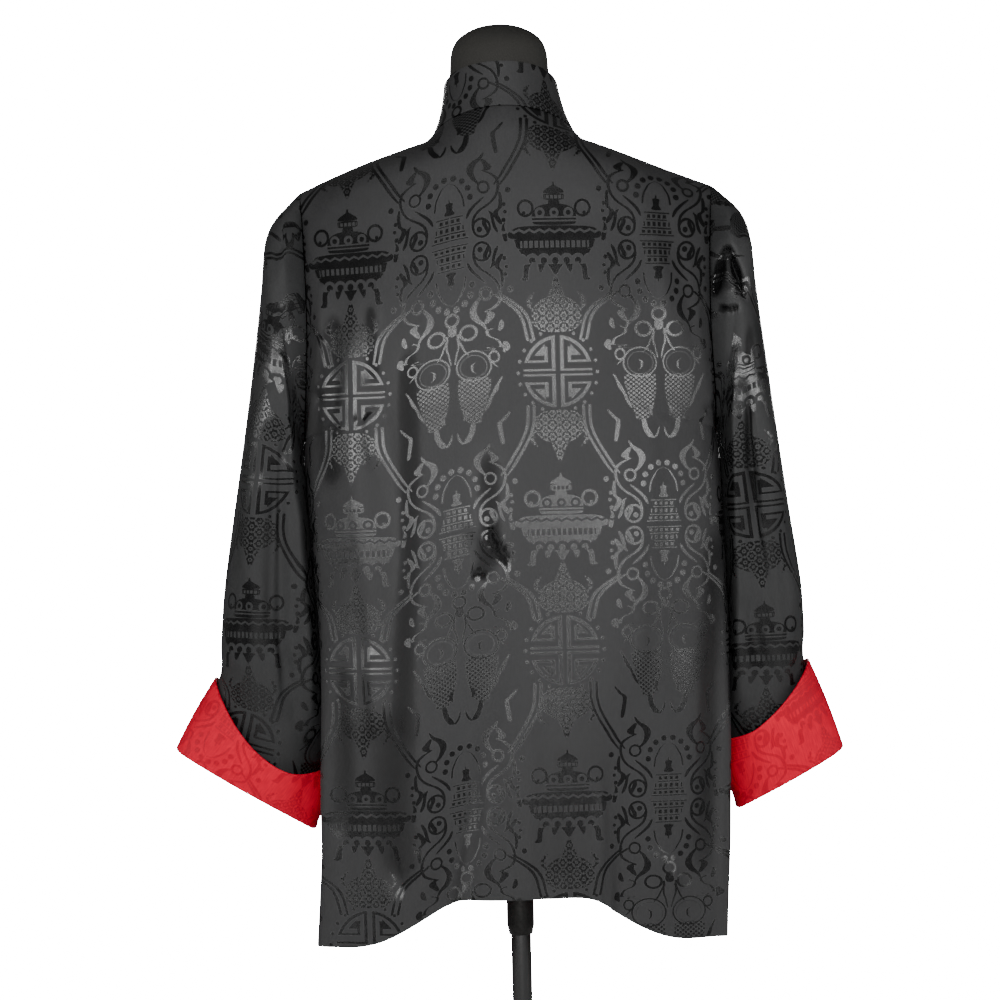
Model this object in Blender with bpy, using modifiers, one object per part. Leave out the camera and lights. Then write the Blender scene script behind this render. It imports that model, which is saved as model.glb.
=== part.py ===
"""Tang jacket of black brocade with turned-back red cuffs, worn by a limbless dress form.

Metres, +Z up. The jacket's front faces -Y and its left sleeve lies towards +X. The origin is on
the floor, under the middle of the round stand.

Every cloth piece is a thin wall lofted through sections that are worked out from the tables
below. The body's sections run from the hem to the shoulder seam, the sleeves' from the armhole
to the cuff, and the collar's from the neck seam to its free edge.
"""

import math

import bmesh
import bpy
import numpy as np
from mathutils import Vector

# Cloth
WALL = 0.002  # brocade and lining, sewn as one
SEAM = 0.0003  # left between pieces that are sewn together
FRONT_GAP = 0.0012  # between the two front edges, which meet and don't overlap

# Grid of the body: columns from the centre line to the edge, rows between two table sections
BODY_COLUMNS = 15
NECK_COLUMNS = 6  # of those, the ones that end at the neck seam
ROWS_PER_SECTION = 2
SLEEVE_ROWS = 2

# Neck seam and shoulder
NECK_HALF_WIDTH = 0.068
NECK_BACK = 0.072
NECK_FRONT = 0.066
NECK_SIDE_Z = 1.193
NAPE_RISE = 0.020
THROAT_DROP = 0.046
SHOULDER_X = 0.195
SHOULDER_Z = 1.1435
NECK_SWAY = -0.003  # the jacket sits a little to its right on the form

# Dress form and stand
FORM_BOTTOM_Z = 0.545
FITTING_RADIUS = 0.013
FITTING_BOTTOM_Z = 0.437
FITTING_CHAMFER = 0.009
FITTING_LIP = 0.0012
POLE_RADIUS = 0.0095
POLE_CLEARANCE = 0.0003
POLE_IN_FITTING = 0.040
BASE_RADIUS = 0.180
BASE_THICKNESS = 0.012
BOSS_RADIUS = 0.019
BOSS_TOP_Z = 0.060
BASE_EDGE = 0.002  # chamfers of the base
POLE_BOTTOM_Z = 0.020

# Frog fastenings down the front
FROG_HEIGHTS = (1.112, 1.006, 0.900, 0.794, 0.688)
FROG_REACH = 0.058  # from the front edge to the sewn end
FROG_CORD_RADIUS = 0.0015
FROG_LANES = 0.0035  # between the two runs of one cord
FROG_RISE = 0.0005  # between the cord and the cloth under it
KNOT_RADIUS = 0.0058
LOOP_RADIUS = 0.0082  # of the cord's middle line round the knot
LOOP_START = 0.019  # from the front edge to where the loop's two runs part


def table(columns, *rows):
    """A short table as one array for each named column."""
    names = columns.split()
    return {name: np.array([row[i] for row in rows]) for i, name in enumerate(names)}


# The body, from the hem to just under the shoulder seam. z_back and z_front are the height at the
# centre lines and z_side at the side seam or armhole. back and front are the depths at the
# centre lines, and back_edge and front_edge those of the armhole. sway moves the section
# sideways. across and around are the powers that square the section's corner.
BODY = table(
    "z_back z_front z_side half_width sway back front back_edge front_edge across around",
    (0.485, 0.462, 0.441, 0.176, -0.002, 0.102, 0.118, 0.000, 0.000, 0.78, 0.78),  # hem
    (0.552, 0.540, 0.526, 0.176, -0.008, 0.103, 0.118, 0.000, 0.000, 0.78, 0.78),  # lap
    (0.640, 0.632, 0.628, 0.184, -0.010, 0.104, 0.117, 0.000, 0.000, 0.79, 0.79),  # hip
    (0.735, 0.730, 0.728, 0.191, -0.010, 0.104, 0.115, 0.000, 0.000, 0.80, 0.80),  # waist
    (0.828, 0.822, 0.822, 0.194, -0.006, 0.107, 0.117, 0.000, 0.000, 0.80, 0.80),  # ribs
    (0.915, 0.908, 0.902, 0.194, -0.002, 0.111, 0.120, 0.000, 0.000, 0.80, 0.80),  # underarm
    (0.942, 0.930, 0.914, 0.193, -0.002, 0.113, 0.121, 0.026, 0.026, 0.81, 0.81),  # scye
    (0.982, 0.964, 0.948, 0.191, -0.003, 0.115, 0.121, 0.045, 0.043, 0.83, 0.84),  # blades
    (1.044, 1.016, 1.004, 0.188, -0.003, 0.115, 0.117, 0.051, 0.045, 0.88, 0.92),  # chest
    (1.112, 1.072, 1.066, 0.189, -0.003, 0.107, 0.105, 0.043, 0.038, 0.94, 1.06),  # high back
    (1.172, 1.122, 1.114, 0.192, -0.003, 0.090, 0.084, 0.025, 0.023, 0.98, 1.20),  # yoke
)
HEM_SECTIONS = 2  # the lowest of them, where the edge steps down into the flutes
HEM_STEP = (0.29, 0.56)  # where across the half width that step starts, and how wide it is
UNDERARM = 5  # that section's row
SLEEVE_COLUMNS = 2 * ROWS_PER_SECTION * (len(BODY["z_back"]) - UNDERARM)

# Drape folds of the body, as soft ridges and troughs. across is the distance from the centre
# line along the cloth, at the fold's lower end, and lean how far it moves out for each metre up.
# rise is the length over which it fades out below its upper end.
BODY_FOLDS = table(
    "face side across lean width height low high rise",
    (+1, +1, 0.192, -0.02, 0.034, 0.021, 0.300, 0.800, 0.290),  # left flute of the back
    (+1, +1, 0.108, -0.17, 0.033, -0.015, 0.300, 0.830, 0.310),  # hollow beside it
    (+1, -1, 0.196, +0.02, 0.034, 0.019, 0.300, 0.760, 0.260),  # right flute
    (+1, -1, 0.118, -0.10, 0.032, -0.013, 0.300, 0.740, 0.240),  # hollow beside it
    (+1, +1, 0.020, +0.02, 0.050, 0.004, 0.300, 0.900, 0.370),  # centre of the back
    (+1, +1, 0.212, +0.00, 0.022, 0.006, 0.300, 0.980, 0.430),  # beside the left sleeve
    (+1, -1, 0.212, +0.00, 0.022, 0.006, 0.300, 0.980, 0.430),  # beside the right sleeve
    (+1, +1, 0.122, +0.03, 0.024, 0.005, 0.560, 1.050, 0.220),  # left shoulder blade, down
    (+1, -1, 0.072, +0.14, 0.022, 0.004, 0.600, 1.020, 0.200),  # right shoulder blade, down
    (+1, -1, 0.150, -0.10, 0.016, 0.004, 0.960, 1.160, 0.070),  # from the right shoulder
    (-1, +1, 0.185, -0.03, 0.034, 0.017, 0.300, 0.760, 0.260),  # left front flute
    (-1, +1, 0.108, -0.05, 0.032, -0.010, 0.300, 0.720, 0.230),  # hollow beside it
    (-1, -1, 0.190, -0.02, 0.034, 0.018, 0.300, 0.780, 0.280),  # right front flute
    (-1, -1, 0.112, -0.04, 0.034, -0.011, 0.300, 0.740, 0.240),  # hollow beside it
    (-1, +1, 0.112, +0.04, 0.022, 0.004, 0.600, 1.030, 0.200),  # left chest, down
    (-1, -1, 0.104, +0.06, 0.024, 0.004, 0.580, 1.010, 0.200),  # right chest, down
)
FOLD_FOOT = 0.08  # the length over which a fold starts above its lower end

# The sleeves, from the shoulder to where the cuff turns back. outer is the side away from the
# body and under the side against it. gap is from the body's side to the under line, and deep
# half the depth from front to back.
SLEEVE = table(
    "outer_x outer_z under_z gap deep middle_y sway",
    (0.2100, 1.1290, 0.9000, 0.0012, 0.0560, 0.003, -0.0035),  # sleeve head
    (0.2215, 1.1165, 0.8960, 0.0018, 0.0580, 0.003, -0.0035),  # padded corner
    (0.2290, 1.0985, 0.8890, 0.0022, 0.0600, 0.003, -0.0035),
    (0.2330, 1.0600, 0.8780, 0.0024, 0.0615, 0.003, -0.0035),
    (0.2385, 1.0130, 0.8600, 0.0024, 0.0620, 0.002, -0.0030),
    (0.2460, 0.9560, 0.8330, 0.0024, 0.0615, 0.002, -0.0025),
    (0.2550, 0.8920, 0.7960, 0.0024, 0.0600, 0.001, -0.0015),
    (0.2645, 0.8290, 0.7510, 0.0024, 0.0570, 0.000, -0.0005),
    (0.2735, 0.7660, 0.6980, 0.0026, 0.0535, 0.000, 0.0000),
    (0.2760, 0.7160, 0.6480, 0.0040, 0.0490, 0.000, 0.0015),
    (0.2775, 0.6890, 0.6120, 0.0062, 0.0445, 0.000, 0.0020),
)

# Where the cuffs turn back, and their free edges. droop is how far the free edge sags at the back.
CUFFS = table(
    "side fold_x fold_z fold_under_x fold_under_z free_x free_z free_under_z droop_back droop_front",
    (+1, 0.3240, 0.620, 0.1915, 0.541, 0.2840, 0.688, 0.604, 0.034, 0.010),
    (-1, 0.3115, 0.606, 0.2070, 0.551, 0.2795, 0.692, 0.618, 0.011, 0.012),
)
CUFF_FOLD_DEEP = 0.031
CUFF_FREE_DEEP = 0.0540
CUFF_UNDER_GAP = 0.0022  # from the body's side to the free edge
CUFF_LIP = 0.0052  # the turned edge under the sleeve's end
CUFF_BELLY = 0.0015  # how far its middle stands out
SLEEVE_INSET = 0.0030  # from the cuff's outside to the sleeve in it

# Folds along the sleeves. turn is the angle from the outer side, positive to the back, and
# twist how far it turns from the shoulder to the cuff.
SLEEVE_FOLDS = table(
    "side turn twist width height start",
    (+1, 62, +14, 17, 0.0055, 0.35),
    (+1, 100, +10, 15, -0.0060, 0.30),
    (+1, 134, -4, 15, 0.0045, 0.45),
    (+1, -80, -8, 20, 0.0050, 0.35),
    (+1, -118, -6, 18, -0.0050, 0.35),
    (-1, 55, +18, 18, 0.0050, 0.35),
    (-1, 92, +14, 16, -0.0065, 0.28),
    (-1, 128, +0, 15, 0.0045, 0.40),
    (-1, -74, -8, 20, 0.0050, 0.35),
    (-1, -112, -6, 18, -0.0050, 0.35),
)

# The collar's profile, as its share of the way up, how far it leans in at the side, and at the
# centre back and front.
COLLAR = table(
    "rise lean_side lean_back lean_front",
    (0.00, 0.0000, 0.0000, 0.0000),
    (0.25, 0.0055, 0.0030, 0.0025),
    (0.55, 0.0100, 0.0055, 0.0050),
    (0.80, 0.0125, 0.0070, 0.0065),
    (1.00, 0.0140, 0.0078, 0.0072),
)
COLLAR_BACK_HEIGHT = 0.042
COLLAR_SIDE_HEIGHT = 0.048
COLLAR_FRONT_HEIGHT = 0.040
COLLAR_SEAM = 0.0004  # its height over the neck seam
COLLAR_CORNER = 0.014  # radius of its two front corners
COLLAR_FRONT_GAP = 0.0045  # from the centre line to its front edge

# The dress form, from its flat bottom to the neck cap. Each section is the outline round two
# shapes: the trunk or shoulders, and the neck. corner is the power that squares the trunk's
# corners below 1 and sharpens them above it.
FORM = table(
    "z half_width back front corner neck_width neck_back neck_front sway",
    (FORM_BOTTOM_Z, 0.1300, 0.0760, 0.0760, 0.92, 0.050, 0.050, 0.046, 0),
    (0.5475, 0.1400, 0.0840, 0.0840, 0.92, 0.050, 0.050, 0.046, 0),
    (0.5560, 0.1465, 0.0900, 0.0890, 0.92, 0.050, 0.050, 0.046, 0),
    (0.6200, 0.1550, 0.0920, 0.0940, 0.92, 0.050, 0.050, 0.046, 0),
    (0.7000, 0.1480, 0.0880, 0.0900, 0.92, 0.050, 0.050, 0.046, 0),
    (0.7900, 0.1250, 0.0760, 0.0840, 0.92, 0.050, 0.050, 0.046, 0),
    (0.8700, 0.1280, 0.0800, 0.0940, 0.92, 0.050, 0.050, 0.046, 0),
    (0.9500, 0.1400, 0.0880, 0.1020, 0.92, 0.050, 0.050, 0.046, -0.001),
    (1.0200, 0.1480, 0.0920, 0.0980, 0.92, 0.050, 0.050, 0.046, -0.002),
    (1.0800, 0.1560, 0.0890, 0.0820, 0.95, 0.050, 0.050, 0.046, -0.003),
    (1.1180, 0.1640, 0.0780, 0.0620, 1.05, 0.051, 0.051, 0.046, -0.003),
    (1.1380, 0.1690, 0.0660, 0.0500, 1.20, 0.0520, 0.0520, 0.047, -0.003),
    (1.1527, 0.1650, 0.0540, 0.0400, 1.50, 0.0520, 0.0530, 0.047, -0.003),
    (1.1624, 0.1400, 0.0520, 0.0380, 1.50, 0.0520, 0.0530, 0.047, -0.003),
    (1.1702, 0.1200, 0.0500, 0.0350, 1.50, 0.0520, 0.0530, 0.047, -0.003),
    (1.1780, 0.1000, 0.0460, 0.0290, 1.50, 0.0520, 0.0530, 0.047, -0.003),
    (1.1857, 0.0800, 0.0400, 0.0170, 1.50, 0.0520, 0.0530, 0.047, -0.003),
    (1.1915, 0.0580, 0.0360, 0.0130, 1.20, 0.0510, 0.0530, 0.046, -0.002),
    (1.2080, 0.0400, 0.0300, 0.0150, 1.00, 0.0500, 0.0515, 0.046, -0.001),
    (1.2320, 0.0300, 0.0250, 0.0150, 1.00, 0.0478, 0.0500, 0.045, 0),
    (1.2590, 0.0250, 0.0200, 0.0150, 1.00, 0.0468, 0.0485, 0.044, 0),
    (1.2760, 0.0220, 0.0200, 0.0150, 1.00, 0.0448, 0.0460, 0.042, 0),
    (1.2870, 0.0200, 0.0180, 0.0120, 1.00, 0.0385, 0.0390, 0.036, 0),
    (1.2960, 0.0100, 0.0100, 0.0080, 1.00, 0.0235, 0.0240, 0.022, 0),
    (1.3000, 0.0040, 0.0040, 0.0040, 1.00, 0.0070, 0.0070, 0.007, 0),
)
FORM_SIDES = 32


def material(name, color, roughness, metallic=0.0):
    """A plain Principled material."""
    made = bpy.data.materials.new(name)
    made.use_nodes = True
    shader = made.node_tree.nodes["Principled BSDF"]
    shader.inputs["Base Color"].default_value = (*color, 1)
    shader.inputs["Roughness"].default_value = roughness
    shader.inputs["Metallic"].default_value = metallic
    made.diffuse_color = (*color, 1)
    return made


def smooth_step(x):
    x = np.clip(x, 0, 1)
    return x * x * (3 - 2 * x)


def loft(keys, levels, end=None):
    """Rows on smooth curves through the key rows, at levels counted in key rows.

    The curves run by the mean distance between key rows. end is the way each curve should
    leave the last row, as the distance it would go in the last interval.
    """
    steps = np.linalg.norm(np.diff(keys, axis=0), axis=2).mean(axis=1)
    knots = np.concatenate([[0], np.cumsum(steps)])
    slopes = np.empty_like(keys)
    slopes[1:-1] = (keys[2:] - keys[:-2]) / (knots[2:] - knots[:-2])[:, None, None]
    slopes[0] = (keys[1] - keys[0]) / steps[0]
    slopes[-1] = (keys[-1] - keys[-2] if end is None else end) / steps[-1]
    k = np.clip(levels.astype(int), 0, len(keys) - 2)
    x = (levels - k)[:, None, None]
    span = steps[k][:, None, None]
    return (
        (1 + 2 * x) * (1 - x) ** 2 * keys[k]
        + x * (1 - x) ** 2 * span * slopes[k]
        + x * x * (3 - 2 * x) * keys[k + 1]
        + x * x * (x - 1) * span * slopes[k + 1]
    )


def along(line, shares):
    """Points of a polyline at these shares of its length."""
    steps = np.linalg.norm(np.diff(line, axis=0), axis=1)
    reached = np.concatenate([[0], np.cumsum(steps)])
    wanted = np.asarray(shares) * reached[-1]
    return np.stack([np.interp(wanted, reached, line[:, i]) for i in range(3)], axis=1)


def grid_normals(points, wrap=False):
    """Unit normals of a grid of points, rows by columns, across the columns and up the rows."""
    if wrap:
        by_column = np.roll(points, -1, axis=1) - np.roll(points, 1, axis=1)
    else:
        by_column = np.gradient(points, axis=1)
    normals = np.cross(by_column, np.gradient(points, axis=0))
    return normals / np.linalg.norm(normals, axis=2, keepdims=True)


# ---------------------------------------------------------------- the body's surface


def neck_point(face, turn):
    """The neck seam, where turn runs from 0 at the centre line to 1 at the shoulder."""
    angle = np.asarray(turn) * math.pi / 2
    depth = NECK_BACK if face > 0 else -NECK_FRONT
    rise = NAPE_RISE if face > 0 else -THROAT_DROP
    return np.stack(
        [
            NECK_HALF_WIDTH * np.sin(angle),
            depth * np.cos(angle),
            NECK_SIDE_Z + rise * np.cos(angle) ** 1.4,
        ],
        axis=-1,
    )


def top_course(face, shares):
    """The neck seam and then the shoulder seam, at the columns' shares."""
    split = NECK_COLUMNS / BODY_COLUMNS
    shares = np.asarray(shares)
    neck = neck_point(face, np.clip(shares / split, 0, 1))
    out = np.clip((shares - split) / (1 - split), 0, 1)[:, None]
    tip = np.array([SHOULDER_X, 0.0, SHOULDER_Z])
    return neck + out * (tip - neck_point(face, 1.0)) * (shares > split)[:, None]


def body_course(face, section, shares):
    """One table section, from the centre line to the side seam or armhole."""
    row = {name: column[section] for name, column in BODY.items()}
    depth, edge = ("back", "back_edge") if face > 0 else ("front", "front_edge")
    middle = row["z_back"] if face > 0 else row["z_front"]
    last = math.acos((row[edge] / row[depth]) ** (1 / row["around"]))
    angle = np.linspace(0, last, 181)
    out = (np.sin(angle) / math.sin(last)) ** row["across"]
    x = row["half_width"] * out
    y = row[depth] * np.cos(angle) ** row["around"]
    if section < HEM_SECTIONS:
        drop = smooth_step((out - HEM_STEP[0]) / HEM_STEP[1])
    else:
        drop = out**2.2
    z = middle + (row["z_side"] - middle) * drop
    return along(np.stack([x, face * y, z], axis=1), shares)


def fold_height(face, side, across, z):
    """How far the drape folds move the cloth out."""
    height = np.zeros_like(z)
    for i in range(len(BODY_FOLDS["face"])):
        row = {name: column[i] for name, column in BODY_FOLDS.items()}
        if (row["face"], row["side"]) != (face, side):
            continue
        centre = row["across"] + row["lean"] * (z - row["low"])
        fade = smooth_step((row["high"] - z) / row["rise"])
        fade *= smooth_step((z - row["low"]) / FOLD_FOOT)
        height += row["height"] * fade * np.exp(-(((across - centre) / row["width"]) ** 2))
    return height


def body_half(face, side, shares, levels):
    """Rows of points on one half of the back (face +1) or front (-1), centre line first."""
    shares = np.asarray(shares, float)
    levels = np.asarray(levels, float)
    sections = len(BODY["z_back"])
    keys = [body_course(face, i, shares) for i in range(sections)]
    keys.append(top_course(face, shares))
    # At the shoulder seam the cloth runs level over the ridge, and at the neck it stands up.
    split = NECK_COLUMNS / BODY_COLUMNS
    over = smooth_step(shares / split)
    slope = np.stack(
        [0 * shares, -face * (0.030 + 0.018 * over), 0.040 * (1 - over) + 0.001], axis=1
    )
    points = loft(np.array(keys), levels, slope)
    points[..., 1] = face * np.maximum(face * points[..., 1], 0)
    sway = np.interp(levels, range(sections), BODY["sway"])
    steps = np.linalg.norm(np.diff(points, axis=1), axis=2)
    across = np.concatenate([np.zeros((len(levels), 1)), np.cumsum(steps, axis=1)], axis=1)
    out = np.stack([points[..., 0] / 0.19, face * np.abs(points[..., 1]) / 0.11], axis=-1)
    out /= np.linalg.norm(out, axis=2, keepdims=True) + 1e-9
    edge = smooth_step((1 - shares) / 0.22)
    height = fold_height(face, side, across, points[..., 2]) * edge
    points[..., :2] += out * height[..., None]
    points[..., 0] = side * points[..., 0] + sway[:, None]
    return points


def body_levels():
    """The rows of the body's grid, as places in its table."""
    return np.linspace(0, len(BODY["z_back"]), len(BODY["z_back"]) * ROWS_PER_SECTION + 1)


def square_to_seams(normals, sides):
    """Turns the wall's normals flat along the side and shoulder seams, where panels meet."""
    under = UNDERARM * ROWS_PER_SECTION
    shoulder = BODY_COLUMNS - NECK_COLUMNS
    for column, outwards in sides:
        normals[: under + 1, column] = (outwards, 0, 0)
        first = 0 if column == 0 else column - shoulder
        top = normals[-1, first : first + shoulder + 1]
        top[:, 1] = 0
        top /= np.linalg.norm(top, axis=1, keepdims=True)


def back_panel():
    """The outer points and normals of the back, from the left side to the right."""
    shares = np.linspace(0, 1, BODY_COLUMNS + 1)
    left = body_half(+1, +1, shares, body_levels())
    right = body_half(+1, -1, shares, body_levels())
    points = np.concatenate([left[:, ::-1], right[:, 1:]], axis=1)
    points[..., 1] += SEAM / 2
    normals = grid_normals(points)
    square_to_seams(normals, ((0, 1), (2 * BODY_COLUMNS, -1)))
    return points, normals


def front_panel(side):
    """The outer points and normals of one front, from the centre edge to the side."""
    shares = np.linspace(0, 1, BODY_COLUMNS + 1)
    points = body_half(-1, side, shares, body_levels())
    points[..., 1] -= SEAM / 2
    points[:, 0, 0] += side * FRONT_GAP / 2
    normals = grid_normals(points) * side
    normals[:, 0, 0] = 0
    normals[:, 0] /= np.linalg.norm(normals[:, 0], axis=1, keepdims=True)
    square_to_seams(normals, ((BODY_COLUMNS, side),))
    return points, normals


# ---------------------------------------------------------------- sleeves and cuffs


def body_side(side, z):
    """How far the body's side reaches from the centre plane at this height."""
    back = back_panel()[0]
    if side < 0:
        back = back[:, ::-1]
    front = front_panel(side)[0][:, ::-1]
    under = UNDERARM * ROWS_PER_SECTION + 1
    near = [grid[:under, c] for grid in (back, front) for c in range(3)]
    return max(float(np.interp(z, line[:, 2], side * line[:, 0])) for line in near)


def ring(outer, under, deep, middle_y, shares, power=0.92):
    """A closed loop round a sleeve, from its outer line over the back to the under line."""
    angle = np.linspace(0, math.pi, 241)
    middle = (outer + under) / 2
    halves = []
    for face in (1, -1):
        level = np.sign(np.cos(angle)) * np.abs(np.cos(angle)) ** power
        bulge = face * deep * np.sin(angle) ** power
        line = middle + level[:, None] * (outer - under) / 2
        line[:, 1] = middle_y + bulge
        halves.append(along(line, shares))
    return np.concatenate([halves[0], halves[1][-2:0:-1]])


def outward(points, normals):
    """The normals of a tube, turned away from the middle of its rings."""
    middle = points.mean(axis=1, keepdims=True)
    return normals * np.sign(np.sum(normals * (points - middle)))


def armhole(side):
    """The armhole's edge and the wall's normals along it, from the shoulder over the back."""
    under = UNDERARM * ROWS_PER_SECTION
    back, back_normals = back_panel()
    front, front_normals = front_panel(side)
    column = 0 if side > 0 else -1
    edges = []
    for grid, other in ((back[:, column], front[:, -1]), (back_normals[:, column], front_normals[:, -1])):
        down, up = grid[under:][::-1].copy(), other[under:].copy()
        down[0] = (down[0] + up[-1]) / 2
        down[-1] = (down[-1] + up[0]) / 2
        edges.append(np.concatenate([down, up[1:-1]]))
    edges[0][:, 0] += side * SEAM
    return edges


def cuff_rings(side, shares):
    """The cuff's free edge and the fold it turns back at."""
    row = {name: column[0 if side > 0 else 1] for name, column in CUFFS.items()}
    free_under_x = body_side(side, row["free_under_z"]) + CUFF_UNDER_GAP
    free = ring(
        np.array([row["free_x"], 0.0, row["free_z"]]),
        np.array([free_under_x, 0.0, row["free_under_z"]]),
        CUFF_FREE_DEEP,
        0.0,
        shares,
    )
    fold = ring(
        np.array([row["fold_x"], 0.0, row["fold_z"]]),
        np.array([row["fold_under_x"], 0.0, row["fold_under_z"]]),
        CUFF_FOLD_DEEP,
        0.0,
        shares,
        1.0,
    )
    toward = free[:, 1] / CUFF_FREE_DEEP
    free[:, 2] -= np.where(toward > 0, row["droop_back"], row["droop_front"]) * toward**2
    for loop in (free, fold):
        loop[:, 0] *= side
    return free, fold


def cuff_surface(side, shares, steps):
    """Rows of the cuff's outside from its free edge to the fold, its normals and way up."""
    free, fold = cuff_rings(side, shares)
    across = np.linspace(0, 1, 9)[:, None, None]
    points = free + (fold - free) * across
    normals = outward(points, grid_normals(points, wrap=True))
    points = points + normals * CUFF_BELLY * np.sin(math.pi * across)
    normals = outward(points, grid_normals(points, wrap=True))
    pick = (np.asarray(steps) * 8).astype(int)
    up = free - fold
    return points[pick], normals[pick], up / np.linalg.norm(up, axis=1, keepdims=True)


def sleeve_shares(edge, even):
    """Where the sleeve's columns lie round half a ring: as at the armhole, or evenly."""
    half = len(edge) // 2
    steps = np.linalg.norm(np.diff(edge[: half + 1], axis=0), axis=1)
    reached = np.concatenate([[0], np.cumsum(steps)]) / steps.sum()
    return reached * (1 - even) + np.linspace(0, 1, half + 1) * even


def sleeve_wall(side):
    """The sleeve's outer points and normals, from the armhole to its end in the cuff."""
    edge, edge_normals = armhole(side)
    keys = [edge]
    rows = len(SLEEVE["gap"])
    for i in range(rows):
        row = {name: column[i] for name, column in SLEEVE.items()}
        under_x = body_side(side, row["under_z"]) + row["gap"]
        shares = sleeve_shares(edge, min(1, i / 4))
        loop = ring(
            np.array([row["outer_x"] + side * row["sway"], 0.0, row["outer_z"]]),
            np.array([under_x, 0.0, row["under_z"]]),
            row["deep"],
            row["middle_y"],
            shares,
        )
        loop[:, 0] *= side
        keys.append(loop)
    even = sleeve_shares(edge, 1)
    cuff, cuff_normals, up = cuff_surface(side, even, (0.5, 0.75, 1))
    in_cuff = cuff - cuff_normals * SLEEVE_INSET
    in_cuff[-1] += up * (WALL + SEAM)
    keys.append(in_cuff[0])
    levels = np.linspace(0, len(keys) - 1, (len(keys) - 1) * SLEEVE_ROWS + 1)
    levels = np.delete(levels, 1)
    points = np.concatenate([loft(np.array(keys), levels), in_cuff[1:]])
    levels = np.append(levels, (rows + 2, rows + 2))

    half = len(edge) // 2
    turn = np.concatenate([np.linspace(0, 180, half + 1), np.linspace(-180, 0, half + 1)[1:-1]])
    progress = levels / rows
    normals = outward(points, grid_normals(points, wrap=True))
    for i in range(len(SLEEVE_FOLDS["turn"])):
        fold = {name: column[i] for name, column in SLEEVE_FOLDS.items()}
        if fold["side"] != side:
            continue
        centre = fold["turn"] + fold["twist"] * (progress - 0.5)
        away = (turn[None, :] - centre[:, None] + 180) % 360 - 180
        fade = smooth_step((progress - fold["start"]) / 0.35)
        fade *= 1 - smooth_step((progress - 0.80) / 0.24)
        height = fold["height"] * fade[:, None] * np.exp(-((away / fold["width"]) ** 2))
        points = points + normals * height[..., None]
    normals = outward(points, grid_normals(points, wrap=True))
    ahead = points[1] - points[0]
    ahead /= np.linalg.norm(ahead, axis=1, keepdims=True)
    ridge = np.sum((normals[0] - edge_normals) * ahead, axis=1)
    matched = smooth_step((ridge + 0.2) / 0.4)[:, None]
    normals[0] = edge_normals * matched + normals[0] * (1 - matched)
    normals[0] /= np.linalg.norm(normals[0], axis=1, keepdims=True)
    normals[-3:] = cuff_normals
    return points, normals


# ---------------------------------------------------------------- collar


def collar_wall():
    """The collar's outer points and normals, from its right front edge round to the left."""
    turns = np.linspace(0, 1, NECK_COLUMNS + 1)
    seam = np.concatenate([neck_point(-1, turns), neck_point(+1, turns)[-2::-1]])
    share = COLLAR_FRONT_GAP / seam[1, 0]
    seam[0] += (seam[1] - seam[0]) * share
    steps = np.linalg.norm(np.diff(seam, axis=0), axis=1)
    reached = np.concatenate([[0], np.cumsum(steps)])
    near = [0.0010, 0.0032, 0.0070]
    away = np.array(sorted([*reached, *near, COLLAR_CORNER + 0.004]))
    base = along(seam, away / reached[-1])
    backward = np.clip(base[:, 1] / NECK_BACK, 0, 1) ** 2
    forward = np.clip(-base[:, 1] / NECK_FRONT, 0, 1) ** 2
    height = COLLAR_SIDE_HEIGHT + (COLLAR_BACK_HEIGHT - COLLAR_SIDE_HEIGHT) * backward
    height += (COLLAR_FRONT_HEIGHT - COLLAR_SIDE_HEIGHT) * forward
    short = np.clip(COLLAR_CORNER - away, 0, None)
    height -= COLLAR_CORNER - np.sqrt(COLLAR_CORNER**2 - short**2)
    inward = np.stack([-base[:, 0] / NECK_HALF_WIDTH**2, -base[:, 1] / NECK_BACK**2], axis=1)
    inward /= np.linalg.norm(inward, axis=1, keepdims=True)
    rows = []
    for i in range(len(COLLAR["rise"])):
        lean = COLLAR["lean_side"][i] * (1 - backward - forward)
        lean = lean + COLLAR["lean_back"][i] * backward + COLLAR["lean_front"][i] * forward
        row = base.copy()
        row[:, :2] += inward * lean[:, None]
        row[:, 2] += COLLAR_SEAM + height * COLLAR["rise"][i]
        rows.append(row)
    left = np.array(rows)
    right = left[:, ::-1] * (-1, 1, 1)
    points = np.concatenate([left, right[:, 1:]], axis=1)
    normals = grid_normals(points)
    normals *= np.sign(np.sum(normals * (points - (0, 0, 1.2))))
    points[..., 0] += NECK_SWAY * (1 - 0.7 * COLLAR["rise"][:, None])
    return points, normals


# ---------------------------------------------------------------- meshes


def add_mesh(name, points, faces, finish, collection):
    """One named, closed object."""
    mesh = bpy.data.meshes.new(name)
    mesh.from_pydata([tuple(map(float, p)) for p in points], [], faces)
    shaped = bmesh.new()
    shaped.from_mesh(mesh)
    bmesh.ops.recalc_face_normals(shaped, faces=shaped.faces)
    shaped.to_mesh(mesh)
    shaped.free()
    mesh.shade_smooth()
    mesh.materials.append(finish)
    made = bpy.data.objects.new(name, mesh)
    collection.objects.link(made)
    return made


def two_triangles(a, b, c, d):
    """A four-sided face, split between its first and third corners."""
    return [[a, b, c], [a, c, d]]


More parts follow.
